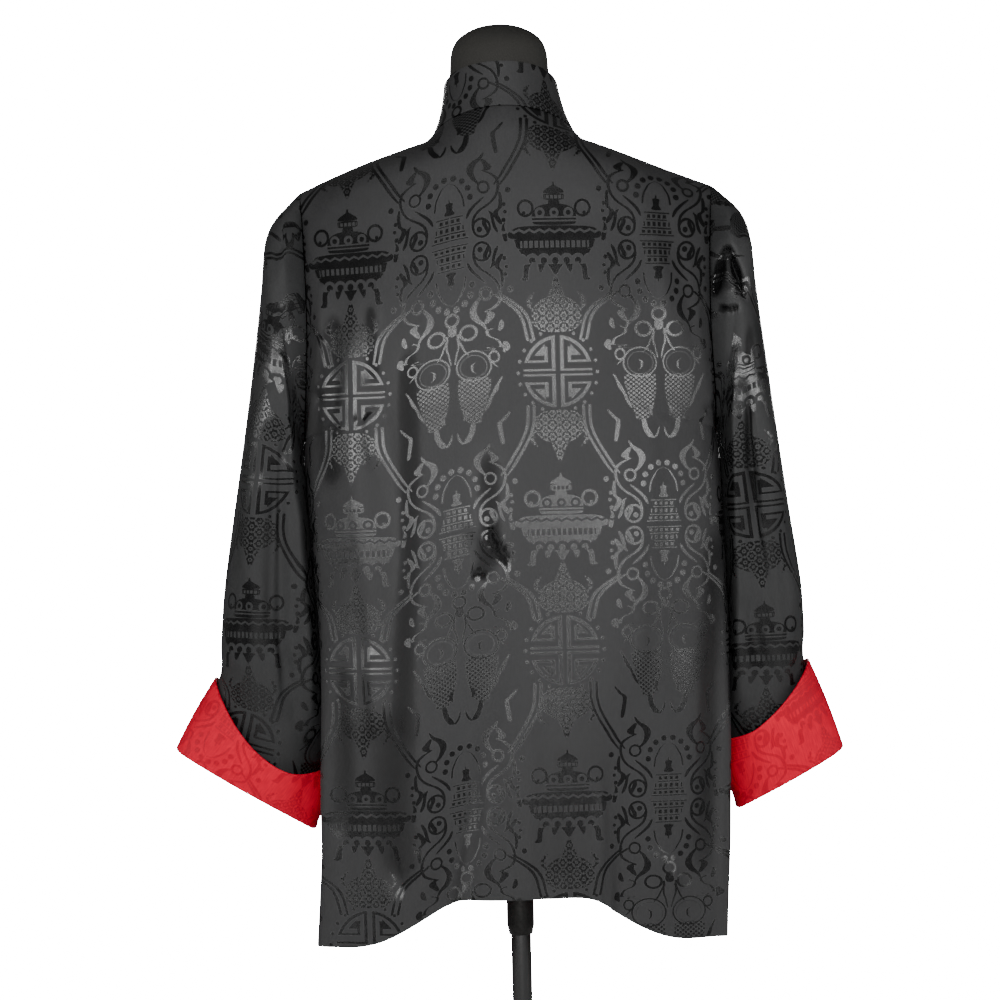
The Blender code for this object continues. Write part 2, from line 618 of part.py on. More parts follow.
def sheet_faces(rows, columns, wrap):
    """Faces of a wall whose outer grid comes before its inner one."""
    inner = rows * columns
    faces = []
    last = columns if wrap else columns - 1
    for r in range(rows - 1):
        for c in range(last):
            d = (c + 1) % columns
            low, high = r * columns, (r + 1) * columns
            faces += two_triangles(low + c, low + d, high + d, high + c)
            low, high = low + inner, high + inner
            faces += two_triangles(low + c, high + c, high + d, low + d)
    for r in (0, rows - 1):
        for c in range(last):
            a, b = r * columns + c, r * columns + (c + 1) % columns
            faces += two_triangles(a, inner + a, inner + b, b)
    if not wrap:
        for c in (0, columns - 1):
            for r in range(rows - 1):
                a, b = r * columns + c, (r + 1) * columns + c
                faces += two_triangles(a, b, inner + b, inner + a)
    return faces


def add_wall(name, outer, normals, finish, collection, wrap=False):
    """A wall of cloth whose outside is this grid."""
    rows, columns = outer.shape[:2]
    inner = outer - normals * WALL
    points = np.concatenate([outer.reshape(-1, 3), inner.reshape(-1, 3)])
    return add_mesh(name, points, sheet_faces(rows, columns, wrap), finish, collection)


def add_loop(name, rings, finish, collection):
    """A closed loop of cloth: each ring's points run round its section."""
    count, sides = rings.shape[:2]
    faces = []
    for r in range(count):
        for c in range(sides):
            low, high, d = r * sides, (r + 1) % count * sides, (c + 1) % sides
            faces += two_triangles(low + d, high + d, high + c, low + c)
    return add_mesh(name, rings.reshape(-1, 3), faces, finish, collection)


def add_stack(name, rings, finish, collection):
    """A solid through rings, closed flat at both ends."""
    count, sides = rings.shape[:2]
    faces = [list(range(sides)), [(count - 1) * sides + c for c in range(sides)]]
    for r in range(count - 1):
        for c in range(sides):
            d = (c + 1) % sides
            a, b = r * sides + c, r * sides + d
            faces.append([a, b, b + sides, a + sides])
    return add_mesh(name, rings.reshape(-1, 3), faces, finish, collection)


def add_turned(name, profile, steps, finish, collection):
    """A solid turned about the stand's axis, whose profile runs from the axis, at the top."""
    mesh = bpy.data.meshes.new(name)
    points = [(radius, 0, z) for radius, z in profile]
    mesh.from_pydata(points, [(i, i + 1) for i in range(len(points) - 1)], [])
    mesh.materials.append(finish)
    made = bpy.data.objects.new(name, mesh)
    collection.objects.link(made)
    turn = made.modifiers.new("turn", "SCREW")
    turn.axis = "Z"
    turn.steps = steps
    turn.render_steps = steps
    turn.use_merge_vertices = True
    turn.merge_threshold = 0.0001
    turn.use_smooth_shade = True
    made.modifiers.new("flat_ends", "WEIGHTED_NORMAL")
    return made


def cuff_solid(side, finish, collection):
    """A turned-back cuff with the lip that the sleeve's end sits on."""
    shares = np.linspace(0, 1, SLEEVE_COLUMNS // 2 + 1)
    points, normals, up = cuff_surface(side, shares, (0, 0.25, 0.5, 0.75, 1))
    fold, fold_normals = points[-1], normals[-1]
    rows = list(points)
    rows.append(fold - fold_normals * CUFF_LIP)
    rows.append(fold - fold_normals * CUFF_LIP + up * WALL)
    rows.append(fold - fold_normals * WALL + up * WALL)
    rows.extend((points - normals * WALL)[-2::-1])
    name = "cuff_left" if side > 0 else "cuff_right"
    return add_loop(name, np.array(rows).transpose(1, 0, 2), finish, collection)


def front_surface(panel, x, z):
    """The point of a front's outside that is seen from the front at this place."""
    rows = [(np.interp(x, row[:, 0], row[:, 1]), np.interp(x, row[:, 0], row[:, 2])) for row in panel]
    y, height = np.array(rows).T
    return np.array([x, np.interp(z, height, y), z])


def add_cord(name, path, finish, collection):
    """A round cord along a closed path."""
    curve = bpy.data.curves.new(name, "CURVE")
    curve.dimensions = "3D"
    curve.bevel_depth = FROG_CORD_RADIUS
    curve.bevel_resolution = 1
    spline = curve.splines.new("POLY")
    spline.points.add(len(path) - 1)
    for point, place in zip(spline.points, path):
        point.co = (*place, 1)
    spline.use_cyclic_u = True
    curve.materials.append(finish)
    made = bpy.data.objects.new(name, curve)
    collection.objects.link(made)
    return made


def add_knot(name, place, over, finish, collection):
    """A ball knot, with its poles towards and away from the cloth."""
    mesh = bpy.data.meshes.new(name)
    shaped = bmesh.new()
    bmesh.ops.create_uvsphere(shaped, u_segments=8, v_segments=6, radius=KNOT_RADIUS)
    shaped.to_mesh(mesh)
    shaped.free()
    mesh.shade_smooth()
    mesh.materials.append(finish)
    made = bpy.data.objects.new(name, mesh)
    made.location = place
    made.rotation_euler = Vector(over).to_track_quat("Z", "X").to_euler()
    collection.objects.link(made)
    return made


def frog_path(panel, side, centre_x, z, near_end, over):
    """The outline of one cord, on the cloth: two lanes from near_end to the sewn end."""
    half = FROG_LANES / 2
    lanes = np.linspace(near_end, FROG_REACH - half, 5)
    outline = [(x, half) for x in lanes] + [(FROG_REACH, 0)] + [(x, -half) for x in lanes[::-1]]
    spots = [front_surface(panel, centre_x + side * x, z + dz) for x, dz in outline]
    return np.array(spots) + over * (FROG_RISE + FROG_CORD_RADIUS)


def add_frog(number, z, finish, collection):
    """One fastening: the loop and its cord on the right, the knot and its cord on the left."""
    left_front = front_panel(+1)[0]
    right_front = front_panel(-1)[0][:, ::-1]
    centre_x = float(np.interp(z, BODY["z_front"], BODY["sway"]))
    low, high = (front_surface(left_front, centre_x + 0.004, z + dz) for dz in (-0.008, 0.008))
    upward = (high - low) / np.linalg.norm(high - low)
    over = np.array([0, -upward[2], upward[1]])
    knot = (low + high) / 2 + over * (FROG_RISE + KNOT_RADIUS)
    knot[0] = centre_x

    left = frog_path(left_front, +1, centre_x, z, KNOT_RADIUS + 0.0012, over)
    nose = (left[0] + left[-1]) / 2 - (0.0010, 0, 0)
    path = np.concatenate([[nose], left])
    add_cord(f"frog_{number}_knot_cord", path, finish, collection)

    right = frog_path(right_front, -1, centre_x, z, LOOP_START, over)
    turns = np.radians([205, 250, 295, 340, 20, 65, 110, 155])[:, None]
    eye = knot + LOOP_RADIUS * (np.cos(turns) * (1, 0, 0) + np.sin(turns) * upward)
    add_cord(f"frog_{number}_loop", np.concatenate([right, eye]), finish, collection)

    add_knot(f"frog_{number}_knot", knot, over, finish, collection)


def form_rings():
    """The dress form's sections, seen from above."""
    angle = np.linspace(0, 2 * math.pi, FORM_SIDES + 1)[:-1]
    cosine, sine = np.cos(angle), np.sin(angle)
    rings = []
    for i in range(len(FORM["z"])):
        row = {name: column[i] for name, column in FORM.items()}
        trunk_deep = np.where(sine > 0, row["back"], row["front"])
        neck_deep = np.where(sine > 0, row["neck_back"], row["neck_front"])
        power = 2 / row["corner"]
        trunk = np.abs(cosine / row["half_width"]) ** power + np.abs(sine / trunk_deep) ** power
        trunk = trunk ** (-1 / power)
        neck = ((cosine / row["neck_width"]) ** 2 + (sine / neck_deep) ** 2) ** -0.5
        reach = (trunk**8 + neck**8) ** 0.125
        height = np.full(FORM_SIDES, row["z"])
        rings.append(np.stack([row["sway"] + reach * cosine, reach * sine, height], axis=1))
    return np.array(rings)


def build():
    """Builds every piece in one collection."""
    for old in list(bpy.data.objects):
        bpy.data.objects.remove(old, do_unlink=True)
    parts = bpy.data.collections.new("tang_jacket")
    bpy.context.scene.collection.children.link(parts)

    brocade = material("black_brocade", (0.030, 0.030, 0.032), 0.45)
    red = material("red_reverse", (0.62, 0.022, 0.030), 0.50)
    cord_black = material("black_cord", (0.018, 0.018, 0.020), 0.60)
    cover = material("form_cover", (0.055, 0.051, 0.047), 0.90)
    steel = material("dark_metal", (0.036, 0.038, 0.038), 0.40, 0.6)
    paint = material("black_paint", (0.014, 0.014, 0.015), 0.45)

    add_wall("jacket_back", *back_panel(), brocade, parts)
    add_wall("jacket_front_left", *front_panel(+1), brocade, parts)
    add_wall("jacket_front_right", *front_panel(-1), brocade, parts)
    add_wall("jacket_sleeve_left", *sleeve_wall(+1), brocade, parts, wrap=True)
    add_wall("jacket_sleeve_right", *sleeve_wall(-1), brocade, parts, wrap=True)
    cuff_solid(+1, red, parts)
    cuff_solid(-1, red, parts)
    add_wall("collar", *collar_wall(), brocade, parts)
    for number, z in enumerate(FROG_HEIGHTS, start=1):
        add_frog(number, z, cord_black, parts)

    add_stack("dress_form", form_rings(), cover, parts)
    hole = POLE_RADIUS + POLE_CLEARANCE
    hole_top = FITTING_BOTTOM_Z + POLE_IN_FITTING
    fitting_top = FORM_BOTTOM_Z - SEAM
    fitting = [
        (0, fitting_top),
        (FITTING_RADIUS, fitting_top),
        (FITTING_RADIUS, FITTING_BOTTOM_Z + FITTING_CHAMFER),
        (hole + FITTING_LIP, FITTING_BOTTOM_Z),
        (hole, FITTING_BOTTOM_Z),
        (hole, hole_top),
        (0, hole_top),
    ]
    add_turned("form_socket", fitting, 24, steel, parts)
    pole_top = hole_top - POLE_CLEARANCE
    pole = [(0, pole_top), (POLE_RADIUS, pole_top), (POLE_RADIUS, POLE_BOTTOM_Z), (0, POLE_BOTTOM_Z)]
    add_turned("stand_pole", pole, 24, paint, parts)
    floor_of_hole = POLE_BOTTOM_Z - POLE_CLEARANCE
    base = [
        (0, floor_of_hole),
        (hole, floor_of_hole),
        (hole, BOSS_TOP_Z),
        (BOSS_RADIUS - BASE_EDGE, BOSS_TOP_Z),
        (BOSS_RADIUS, BOSS_TOP_Z - BASE_EDGE),
        (BOSS_RADIUS, BASE_THICKNESS + 2 * BASE_EDGE),
        (BOSS_RADIUS + 2 * BASE_EDGE, BASE_THICKNESS),
        (BASE_RADIUS - BASE_EDGE, BASE_THICKNESS),
        (BASE_RADIUS, BASE_THICKNESS - BASE_EDGE),
        (BASE_RADIUS, BASE_EDGE),
        (BASE_RADIUS - BASE_EDGE, 0),
        (0, 0),
    ]
    add_turned("stand_base", base, 48, paint, parts)


build()
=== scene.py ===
"""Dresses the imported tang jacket: black jacquard with red turned-back cuffs, on a dress form.

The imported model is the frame. Each cloth piece is made again on its own solid's outside, with a
finer surface, the smaller creases and a cloth map in metres, and the jacquard is drawn on that map.
"""

import logging
import math
from dataclasses import dataclass, replace
from enum import Enum

import bmesh
import bpy
import numpy as np
from mathutils import Matrix, Vector
from mathutils.bvhtree import BVHTree


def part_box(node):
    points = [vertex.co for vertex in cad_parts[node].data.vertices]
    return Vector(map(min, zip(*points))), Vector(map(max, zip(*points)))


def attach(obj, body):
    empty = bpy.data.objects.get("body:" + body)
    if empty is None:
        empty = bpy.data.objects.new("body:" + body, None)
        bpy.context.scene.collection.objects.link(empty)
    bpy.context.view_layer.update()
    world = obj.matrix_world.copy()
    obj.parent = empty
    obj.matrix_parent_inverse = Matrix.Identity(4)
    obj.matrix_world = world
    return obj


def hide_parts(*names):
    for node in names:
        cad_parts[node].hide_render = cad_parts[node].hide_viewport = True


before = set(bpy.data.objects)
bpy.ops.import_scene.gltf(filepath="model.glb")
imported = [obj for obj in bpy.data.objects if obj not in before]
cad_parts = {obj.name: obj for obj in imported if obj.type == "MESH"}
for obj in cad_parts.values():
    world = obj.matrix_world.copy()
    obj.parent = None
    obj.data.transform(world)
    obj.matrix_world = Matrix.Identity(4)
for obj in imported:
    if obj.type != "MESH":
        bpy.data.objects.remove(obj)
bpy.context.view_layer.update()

log = logging.getLogger("tang_jacket")

WALL = 0.002
"""Thickness of the brocade with its seam turnings, as in the solids."""

RIM = 0.0006
"""How far the edge of the cloth is rounded."""

FARTHEST_PRESS = 0.008
"""How far a sleeve or cuff moves at the most, to lie against the body."""

LEFT_BESIDE = 0.0004
"""What stays between them."""

UNDERARM = 0.902
"""Height at which the sleeves meet the side seams."""

CLOTH_MAP = "cloth"
"""Name of the UV map, in metres along and across the cloth."""

PAINTED_SHADE = "tuck"
# Name of the attribute that holds the painted shade in creases and hollows, where the colour is painted
# darker and the normal leant down.
"""Name of the attribute that says how deeply the cloth is tucked away from the light."""

BRIM = (0.0465, 1.0805)
"""Where on the cloth map the brim of one incense burner lies."""

BOUND = 2
"""Material number of cloth whose reverse is bound in black, beside its sewn edges."""

SHARP = math.radians(48)
"""A cloth wall turns by more than this at its rims, and by less elsewhere."""

WELD = 1e-6
"""Points that are nearer to each other than this are one."""


class Side(Enum):
    """The wearer's side. The left one is towards +X."""

    LEFT = "left"
    RIGHT = "right"


class Face(Enum):
    """A face of the garment, as the sign of Y there."""

    BACK = +1
    FRONT = -1


# ---------------------------------------------------------------- meshes and objects


def welded(source: bpy.types.Mesh) -> bmesh.types.BMesh:
    """Opens a mesh to be worked on, with the points merged that lie in one place.

    Args:
        source: The mesh. It stays as it is.

    Returns:
        The copy.
    """
    made = bmesh.new()
    made.from_mesh(source)
    bmesh.ops.remove_doubles(made, verts=made.verts, dist=WELD)
    return made


def finished(made: bmesh.types.BMesh, name: str) -> bpy.types.Mesh:
    """Turns what was modelled into a named mesh.

    Args:
        made: What was modelled. It is freed.
        name: The mesh's name.

    Returns:
        The mesh.
    """
    mesh = bpy.data.meshes.new(name)
    made.to_mesh(mesh)
    made.free()
    return mesh


def put(name: str, data: bpy.types.ID) -> bpy.types.Object:
    """Puts a mesh, a light or a camera in the scene.

    Args:
        name: The object's name.
        data: What it shows.

    Returns:
        The object.
    """
    made = bpy.data.objects.new(name, data)
    bpy.context.scene.collection.objects.link(made)
    return made


# ---------------------------------------------------------------- grids of cloth


def smooth_step(value: np.ndarray, start: float = 0.0, over: float = 1.0) -> np.ndarray:
    """Runs softly from 0 to 1.

    Args:
        value: The value that it follows.
        start: The value up to which it is 0.
        over: How far on it is 1.

    Returns:
        The share at each value.
    """
    share = np.clip((value - start) / over, 0, 1)
    return share * share * (3 - 2 * share)


def outside_of(mesh: bmesh.types.BMesh) -> set[bmesh.types.BMFace]:
    """Cuts a cloth wall open along its edges.

    Args:
        mesh: The wall, as one closed body.

    Returns:
        The faces of its largest sheet, which is its outside.
    """
    rims = [edge for edge in mesh.edges if edge.calc_face_angle(0) > SHARP]
    bmesh.ops.split_edges(mesh, edges=rims)
    left, sheets = set(mesh.faces), []
    while left:
        sheet, ahead = set(), [left.pop()]
        while ahead:
            face = ahead.pop()
            sheet.add(face)
            near = {other for edge in face.edges for other in edge.link_faces} & left
            left -= near
            ahead.extend(near)
        sheets.append(sheet)
    return max(sheets, key=lambda sheet: sum(face.calc_area() for face in sheet))


def walk(first: bmesh.types.BMLoop, sheet: set[bmesh.types.BMFace]) -> tuple:
    """Counts rows and columns over a sheet, as if the first corner's edge ran along a row.

    The sheet is a grid of quads that are each split into two triangles, all the same way. So its
    edges are of three kinds, which every triangle meets in the same order.

    Args:
        first: A corner of one of the sheet's triangles.
        sheet: The sheet's triangles.

    Returns:
        The length of the edges counted as diagonals, each vertex's row and column, and how many
        rows and columns lead round the sheet, where it closes into a ring.
    """
    steps = np.array([(0, 1), (1, 0), (-1, -1)])
    places = {first.vert: np.array((0, 0))}
    ahead, seen = [(first, 0, 1)], {first.face}
    diagonals, around = 0.0, np.zeros(2, int)
    while ahead:
        loop, kind, sign = ahead.pop(0)
        for _ in range(3):
            after = loop.link_loop_next.vert
            there = places[loop.vert] + sign * steps[kind]
            if after in places:
                around = np.maximum(around, np.abs(places[after] - there))
            else:
                places[after] = there
            diagonals += loop.edge.calc_length() * (kind == 2)
            other = loop.link_loop_radial_next
            if other.face in sheet and other.face not in seen:
                seen.add(other.face)
                ahead.append((other, kind, -sign))
            loop, kind = loop.link_loop_next, (kind + 1) % 3
    return diagonals, places, around


def read_grid(node: str) -> np.ndarray:
    """Reads the rows and columns of a cloth solid's outside.

    Args:
        node: The solid's name.

    Returns:
        The points as rows by columns. Rows are counted upwards, and columns so that a column's
        way on crossed with a row's way up points outwards. A ring's first column is its last.
    """
    mesh = welded(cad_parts[node].data)
    sheet = outside_of(mesh)
    start = next(face for face in mesh.faces if face in sheet)
    walks = [walk(corner, sheet) for corner in start.loops]
    _, places, around = max(walks, key=lambda found: found[0])
    spots = np.array(list(places.values()))
    points = np.array([vert.co for vert in places])
    mesh.free()
    if around[0]:
        spots, around = np.stack([spots[:, 1], -spots[:, 0]], axis=1), around[::-1]
    if around[1]:
        spots[:, 1] %= around[1]
    spots -= spots.min(axis=0)
    grid = np.full((*spots.max(axis=0) + 1, 3), np.nan)
    grid[spots[:, 0], spots[:, 1]] = points
    if not around[1] and np.abs(np.diff(grid[..., 2], axis=0)).mean() < np.abs(
        np.diff(grid[..., 2], axis=1)
    ).mean():
        grid = np.rot90(grid)
    if np.diff(grid[..., 2], axis=0).mean() < 0:
        grid = grid[::-1, ::-1]
    if around[1]:
        grid = np.concatenate([grid, grid[:, :1]], axis=1)
    assert not np.isnan(grid).any(), f"{node} isn't a whole grid"
    return grid


def curve_through(points: np.ndarray, times: int, ring: bool = False) -> np.ndarray:
    """Puts more points between those of the first axis, on smooth curves through them.

    Args:
        points: The points, along the first axis. Their steps may differ in length.
        times: How many steps each step becomes.
        ring: Whether the last point is the first one again.

    Returns:
        The finer points, with the given ones among them.
    """
    before = points[-2] if ring else 2 * points[0] - points[1]
    after = points[1] if ring else 2 * points[-1] - points[-2]
    ends = np.concatenate([[before], points, [after]])
    ways = np.diff(ends, axis=0)
    reach = np.sqrt(np.maximum(np.linalg.norm(ways, axis=-1, keepdims=True), 1e-8))
    speeds = ways / reach
    turns = speeds[:-1] + speeds[1:] - (ways[:-1] + ways[1:]) / (reach[:-1] + reach[1:])
    finer = []
    for i in range(len(points) - 1):
        start, end = turns[i] * reach[i + 1], turns[i + 1] * reach[i + 1]
        way = ways[i + 1]
        for t in np.arange(times) / times:
            bend = (3 * way - 2 * start - end) * t**2 + (start + end - 2 * way) * t**3
            finer.append(points[i] + start * t + bend)
    finer.append(points[-1])
    return np.array(finer)


def refine(grid: np.ndarray, rows: int, columns: int, ring: bool) -> np.ndarray:
    """A finer grid through the same points: rows and columns say into how many each step goes."""
    finer = curve_through(grid, rows)
    return curve_through(finer.swapaxes(0, 1), columns, ring).swapaxes(0, 1)


def grid_normals(grid: np.ndarray, ring: bool) -> np.ndarray:
    """The outward unit normals of a grid whose columns crossed with its rows point outwards.

    Args:
        grid: Points as rows by columns.
        ring: Whether the last column is the first one again.

    Returns:
        A unit normal for each point.
    """
    if ring:
        wide = np.concatenate([grid[:, -2:-1], grid, grid[:, 1:2]], axis=1)
        across = wide[:, 2:] - wide[:, :-2]
    else:
        across = np.gradient(grid, axis=1)
    normals = np.cross(across, np.gradient(grid, axis=0))
    return normals / np.linalg.norm(normals, axis=2, keepdims=True)


def lengths(grid: np.ndarray, axis: int, weights: tuple | None = None) -> np.ndarray:
    """Distances run along one axis of a grid, from its start.

    Args:
        grid: Points as rows by columns.
        axis: 0 to run up the columns, 1 to run along the rows.
        weights: How much of X, Y and Z counts, each a number or an array over the grid.

    Returns:
        The distance at each point.
    """
    steps = np.diff(grid, axis=axis)
    if weights is not None:
        keep = [np.broadcast_to(w, grid.shape[:2]) for w in weights]
        keep = np.stack(keep, axis=2)
        keep = keep[1:] if axis == 0 else keep[:, 1:]
        steps = steps * keep
    reached = np.cumsum(np.linalg.norm(steps, axis=2), axis=axis)
    return np.insert(reached, 0, 0, axis=axis)


def cloth_mesh(
    name: str,
    grid: np.ndarray,
    cloth: np.ndarray,
    ring: bool,
    bound: np.ndarray | None = None,
    painted_shading: np.ndarray | None = None,
) -> bpy.types.Mesh:
    """Makes a sheet from a grid.

    Args:
        name: The mesh's name.
        grid: Points as rows by columns.
        cloth: The cloth map's two values at each point, in metres.
        ring: Whether the last column is sewn to the first.
        bound: Where the reverse is covered by the black binding of a seam's turnings.
        painted_shading: The painted shade at each point, from 0 to 1.

    Returns:
        The mesh, smooth, with its cloth map.
    """
    rows, columns = grid.shape[:2]
    made = bmesh.new()
    bmesh.ops.create_grid(made, x_segments=columns - 1, y_segments=rows - 1, size=1)
    made.verts.ensure_lookup_table()
    places = grid.reshape(-1, 3)
    for vert, place in zip(made.verts, places):
        vert.co = place
    # Painted shade: how much darker each point's colour is painted, for the finish to read.
    if painted_shading is not None:
        tuck = made.verts.layers.float.new(PAINTED_SHADE)
        for vert, value in zip(made.verts, painted_shading.flat):
            vert[tuck] = value
    layer = made.loops.layers.uv.new(CLOTH_MAP)
    spots = cloth.reshape(-1, 2)
    for face in made.faces:
        face.smooth = True
        for loop in face.loops:
            loop[layer].uv = spots[loop.vert.index]
        if bound is not None and bound.flat[face.verts[0].index]:
            face.material_index = BOUND
    if ring:
        made.verts.ensure_lookup_table()
        starts = [made.verts[row * columns] for row in range(rows)]
        ends = [made.verts[row * columns + columns - 1] for row in range(rows)]
        bmesh.ops.weld_verts(made, targetmap=dict(zip(ends, starts)))
    return finished(made, name)


def cloth_piece(
    name: str,
    mesh: bpy.types.Mesh,
    finishes: tuple[bpy.types.Material, bpy.types.Material],
) -> bpy.types.Object:
    """Gives a sheet its thickness inwards, its reverse and soft rims.

    Args:
        name: The piece's name.
        mesh: The cloth's outside.
        finishes: The right side and the reverse.

    Returns:
        The piece, riding on the garment.
    """
    for finish in (*finishes, finishes[0], finishes[0]):
        mesh.materials.append(finish)
    piece = put(name, mesh)
    thick = piece.modifiers.new("wall", "SOLIDIFY")
    thick.thickness = WALL
    thick.offset = -1
    thick.use_even_offset = False
    thick.use_quality_normals = True
    thick.material_offset = 1
    thick.material_offset_rim = 0
    rim = piece.modifiers.new("turned edge", "BEVEL")
    rim.width = RIM
    rim.segments = 2
    rim.limit_method = "ANGLE"
    rim.angle_limit = math.radians(60)
    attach(piece, "root")
    return piece


@dataclass(frozen=True)
class Crease:
    """A soft ridge, or with a negative height a trough, along a line over the cloth.

    Its sizes and places are in millimetres.
    """

    line: tuple[tuple[float, float], ...]
    """Points as X and Z."""
    width: float
    height: float
    face: Face = Face.BACK
    fade: float = 0.3
    """The share of its length over which each end fades."""
    tuck: float = 0.0
    # Painted shade along its line, which darkens the colour and leans the normal down. The ground is
    # painted dark from 0.5, and all of it at 1.
    """How deeply its cloth is tucked away from the light. The ground is dark from 0.5, all at 1."""

    def relief(self, grid: np.ndarray, normals: np.ndarray) -> np.ndarray:
        """How strongly it shows at each point of a grid.

        Args:
            grid: Points as rows by columns.
            normals: Their outward normals.

        Returns:
            1 along its middle, 0 away from it.
        """
        spots = grid[..., ::2] * 1000
        near = np.full(spots.shape[:2], np.inf)
        reached = np.zeros(spots.shape[:2])
        along = 0.0
        line = np.array(self.line)
        for start, end in zip(line[:-1], line[1:]):
            way = end - start
            length = np.linalg.norm(way)
            share = np.clip((spots - start) @ way / length**2, 0, 1)
            away = np.linalg.norm(spots - start - share[..., None] * way, axis=2)
            closer = away < near
            near = np.where(closer, away, near)
            reached = np.where(closer, along + share * length, reached)
            along += length
        ends = smooth_step(np.minimum(reached, along - reached), over=self.fade * along)
        facing = smooth_step(self.face.value * normals[..., 1], over=1 / 3)
        return ends * facing * np.exp(-((near / self.width) ** 2))


def in_front(*creases: Crease) -> tuple[Crease, ...]:
    """The same creases, on the front of the garment."""
    return tuple(replace(crease, face=Face.FRONT) for crease in creases)


# ---------------------------------------------------------------- finishes


Number = int | float


class Field:
    """A value that changes over the surface, with Python's arithmetic."""

    def __init__(self, shader: "Shader", socket: bpy.types.NodeSocket) -> None:
        """Wraps a node's output."""
        self.shader = shader
        self.socket = socket

    def math(self, operation: str, *others: "Field | Number", clamp: bool = False) -> "Field":
        """Adds a Math node on this value and others.

        Args:
            operation: The Math node's operation.
            *others: Its other inputs.
            clamp: Whether the result is kept from 0 to 1.

        Returns:
            The result.
        """
        settings = {"operation": operation, "use_clamp": clamp}
        node = self.shader.node("ShaderNodeMath", settings, dict(enumerate([self, *others])))
        return Field(self.shader, node.outputs[0])

    def __add__(self, other: "Field | Number") -> "Field":
        """Sum."""
        return self.math("ADD", other)

    __radd__ = __add__

    def __sub__(self, other: "Field | Number") -> "Field":
        """Difference."""
        return self.math("SUBTRACT", other)

    def __rsub__(self, other: Number) -> "Field":
        """Difference from a number."""
        node = self.shader.node("ShaderNodeMath", {"operation": "SUBTRACT"}, {0: other, 1: self})
        return Field(self.shader, node.outputs[0])

    def __mul__(self, other: "Field | Number") -> "Field":
        """Product."""
        return self.math("MULTIPLY", other)

    __rmul__ = __mul__

    def __truediv__(self, other: "Field | Number") -> "Field":
        """Quotient."""
        return self.math("DIVIDE", other)

    def __neg__(self) -> "Field":
        """The value turned round."""
        return self.math("MULTIPLY", -1)

    def __abs__(self) -> "Field":
        """Its size without its sign."""
        return self.math("ABSOLUTE")

    def over(self, other: "Field | Number") -> "Field":
        """The greater of the two."""
        return self.math("MAXIMUM", other)

    def under(self, other: "Field | Number") -> "Field":
        """The lesser of the two."""
        return self.math("MINIMUM", other)

    def clamp(self) -> "Field":
        """Kept from 0 to 1."""
        return self.math("ADD", 0, clamp=True)

    def swing(self, by: Number) -> "Field":
        """What runs from 0 to 1 moved to run from minus half to half of a range."""
        return (self - 0.5) * by

    def fold(self, half: Number) -> "Field":
        """Folded to and fro between 0 and half, as a repeat with mirrored halves."""
        return self.math("PINGPONG", half)

    def wrap(self, low: Number, high: Number) -> "Field":
        """Repeated from low to high."""
        return self.math("WRAP", high, low)

    def reach(self, other: "Field") -> "Field":
        """The length of the arm with these two sides."""
        return (self * self + other * other).math("SQRT")

    def curve(self, points: list[tuple[Number, Number]]) -> "Field":
        """A smooth curve through points, read at this value.

        Args:
            points: The value and the curve's height there, in order. It is level outside them.

        Returns:
            The curve's height.
        """
        keys, heights = zip(*points)
        low, span = min(heights), (max(heights) - min(heights)) or 1
        start, width = keys[0], keys[-1] - keys[0]
        stops = [((key - start) / width, (height - low) / span) for key, height in points]
        node = self.shader.node(
            "ShaderNodeFloatCurve", {"points": stops}, {"Value": (self - start) / width}
        )
        return Field(self.shader, node.outputs[0]) * span + low


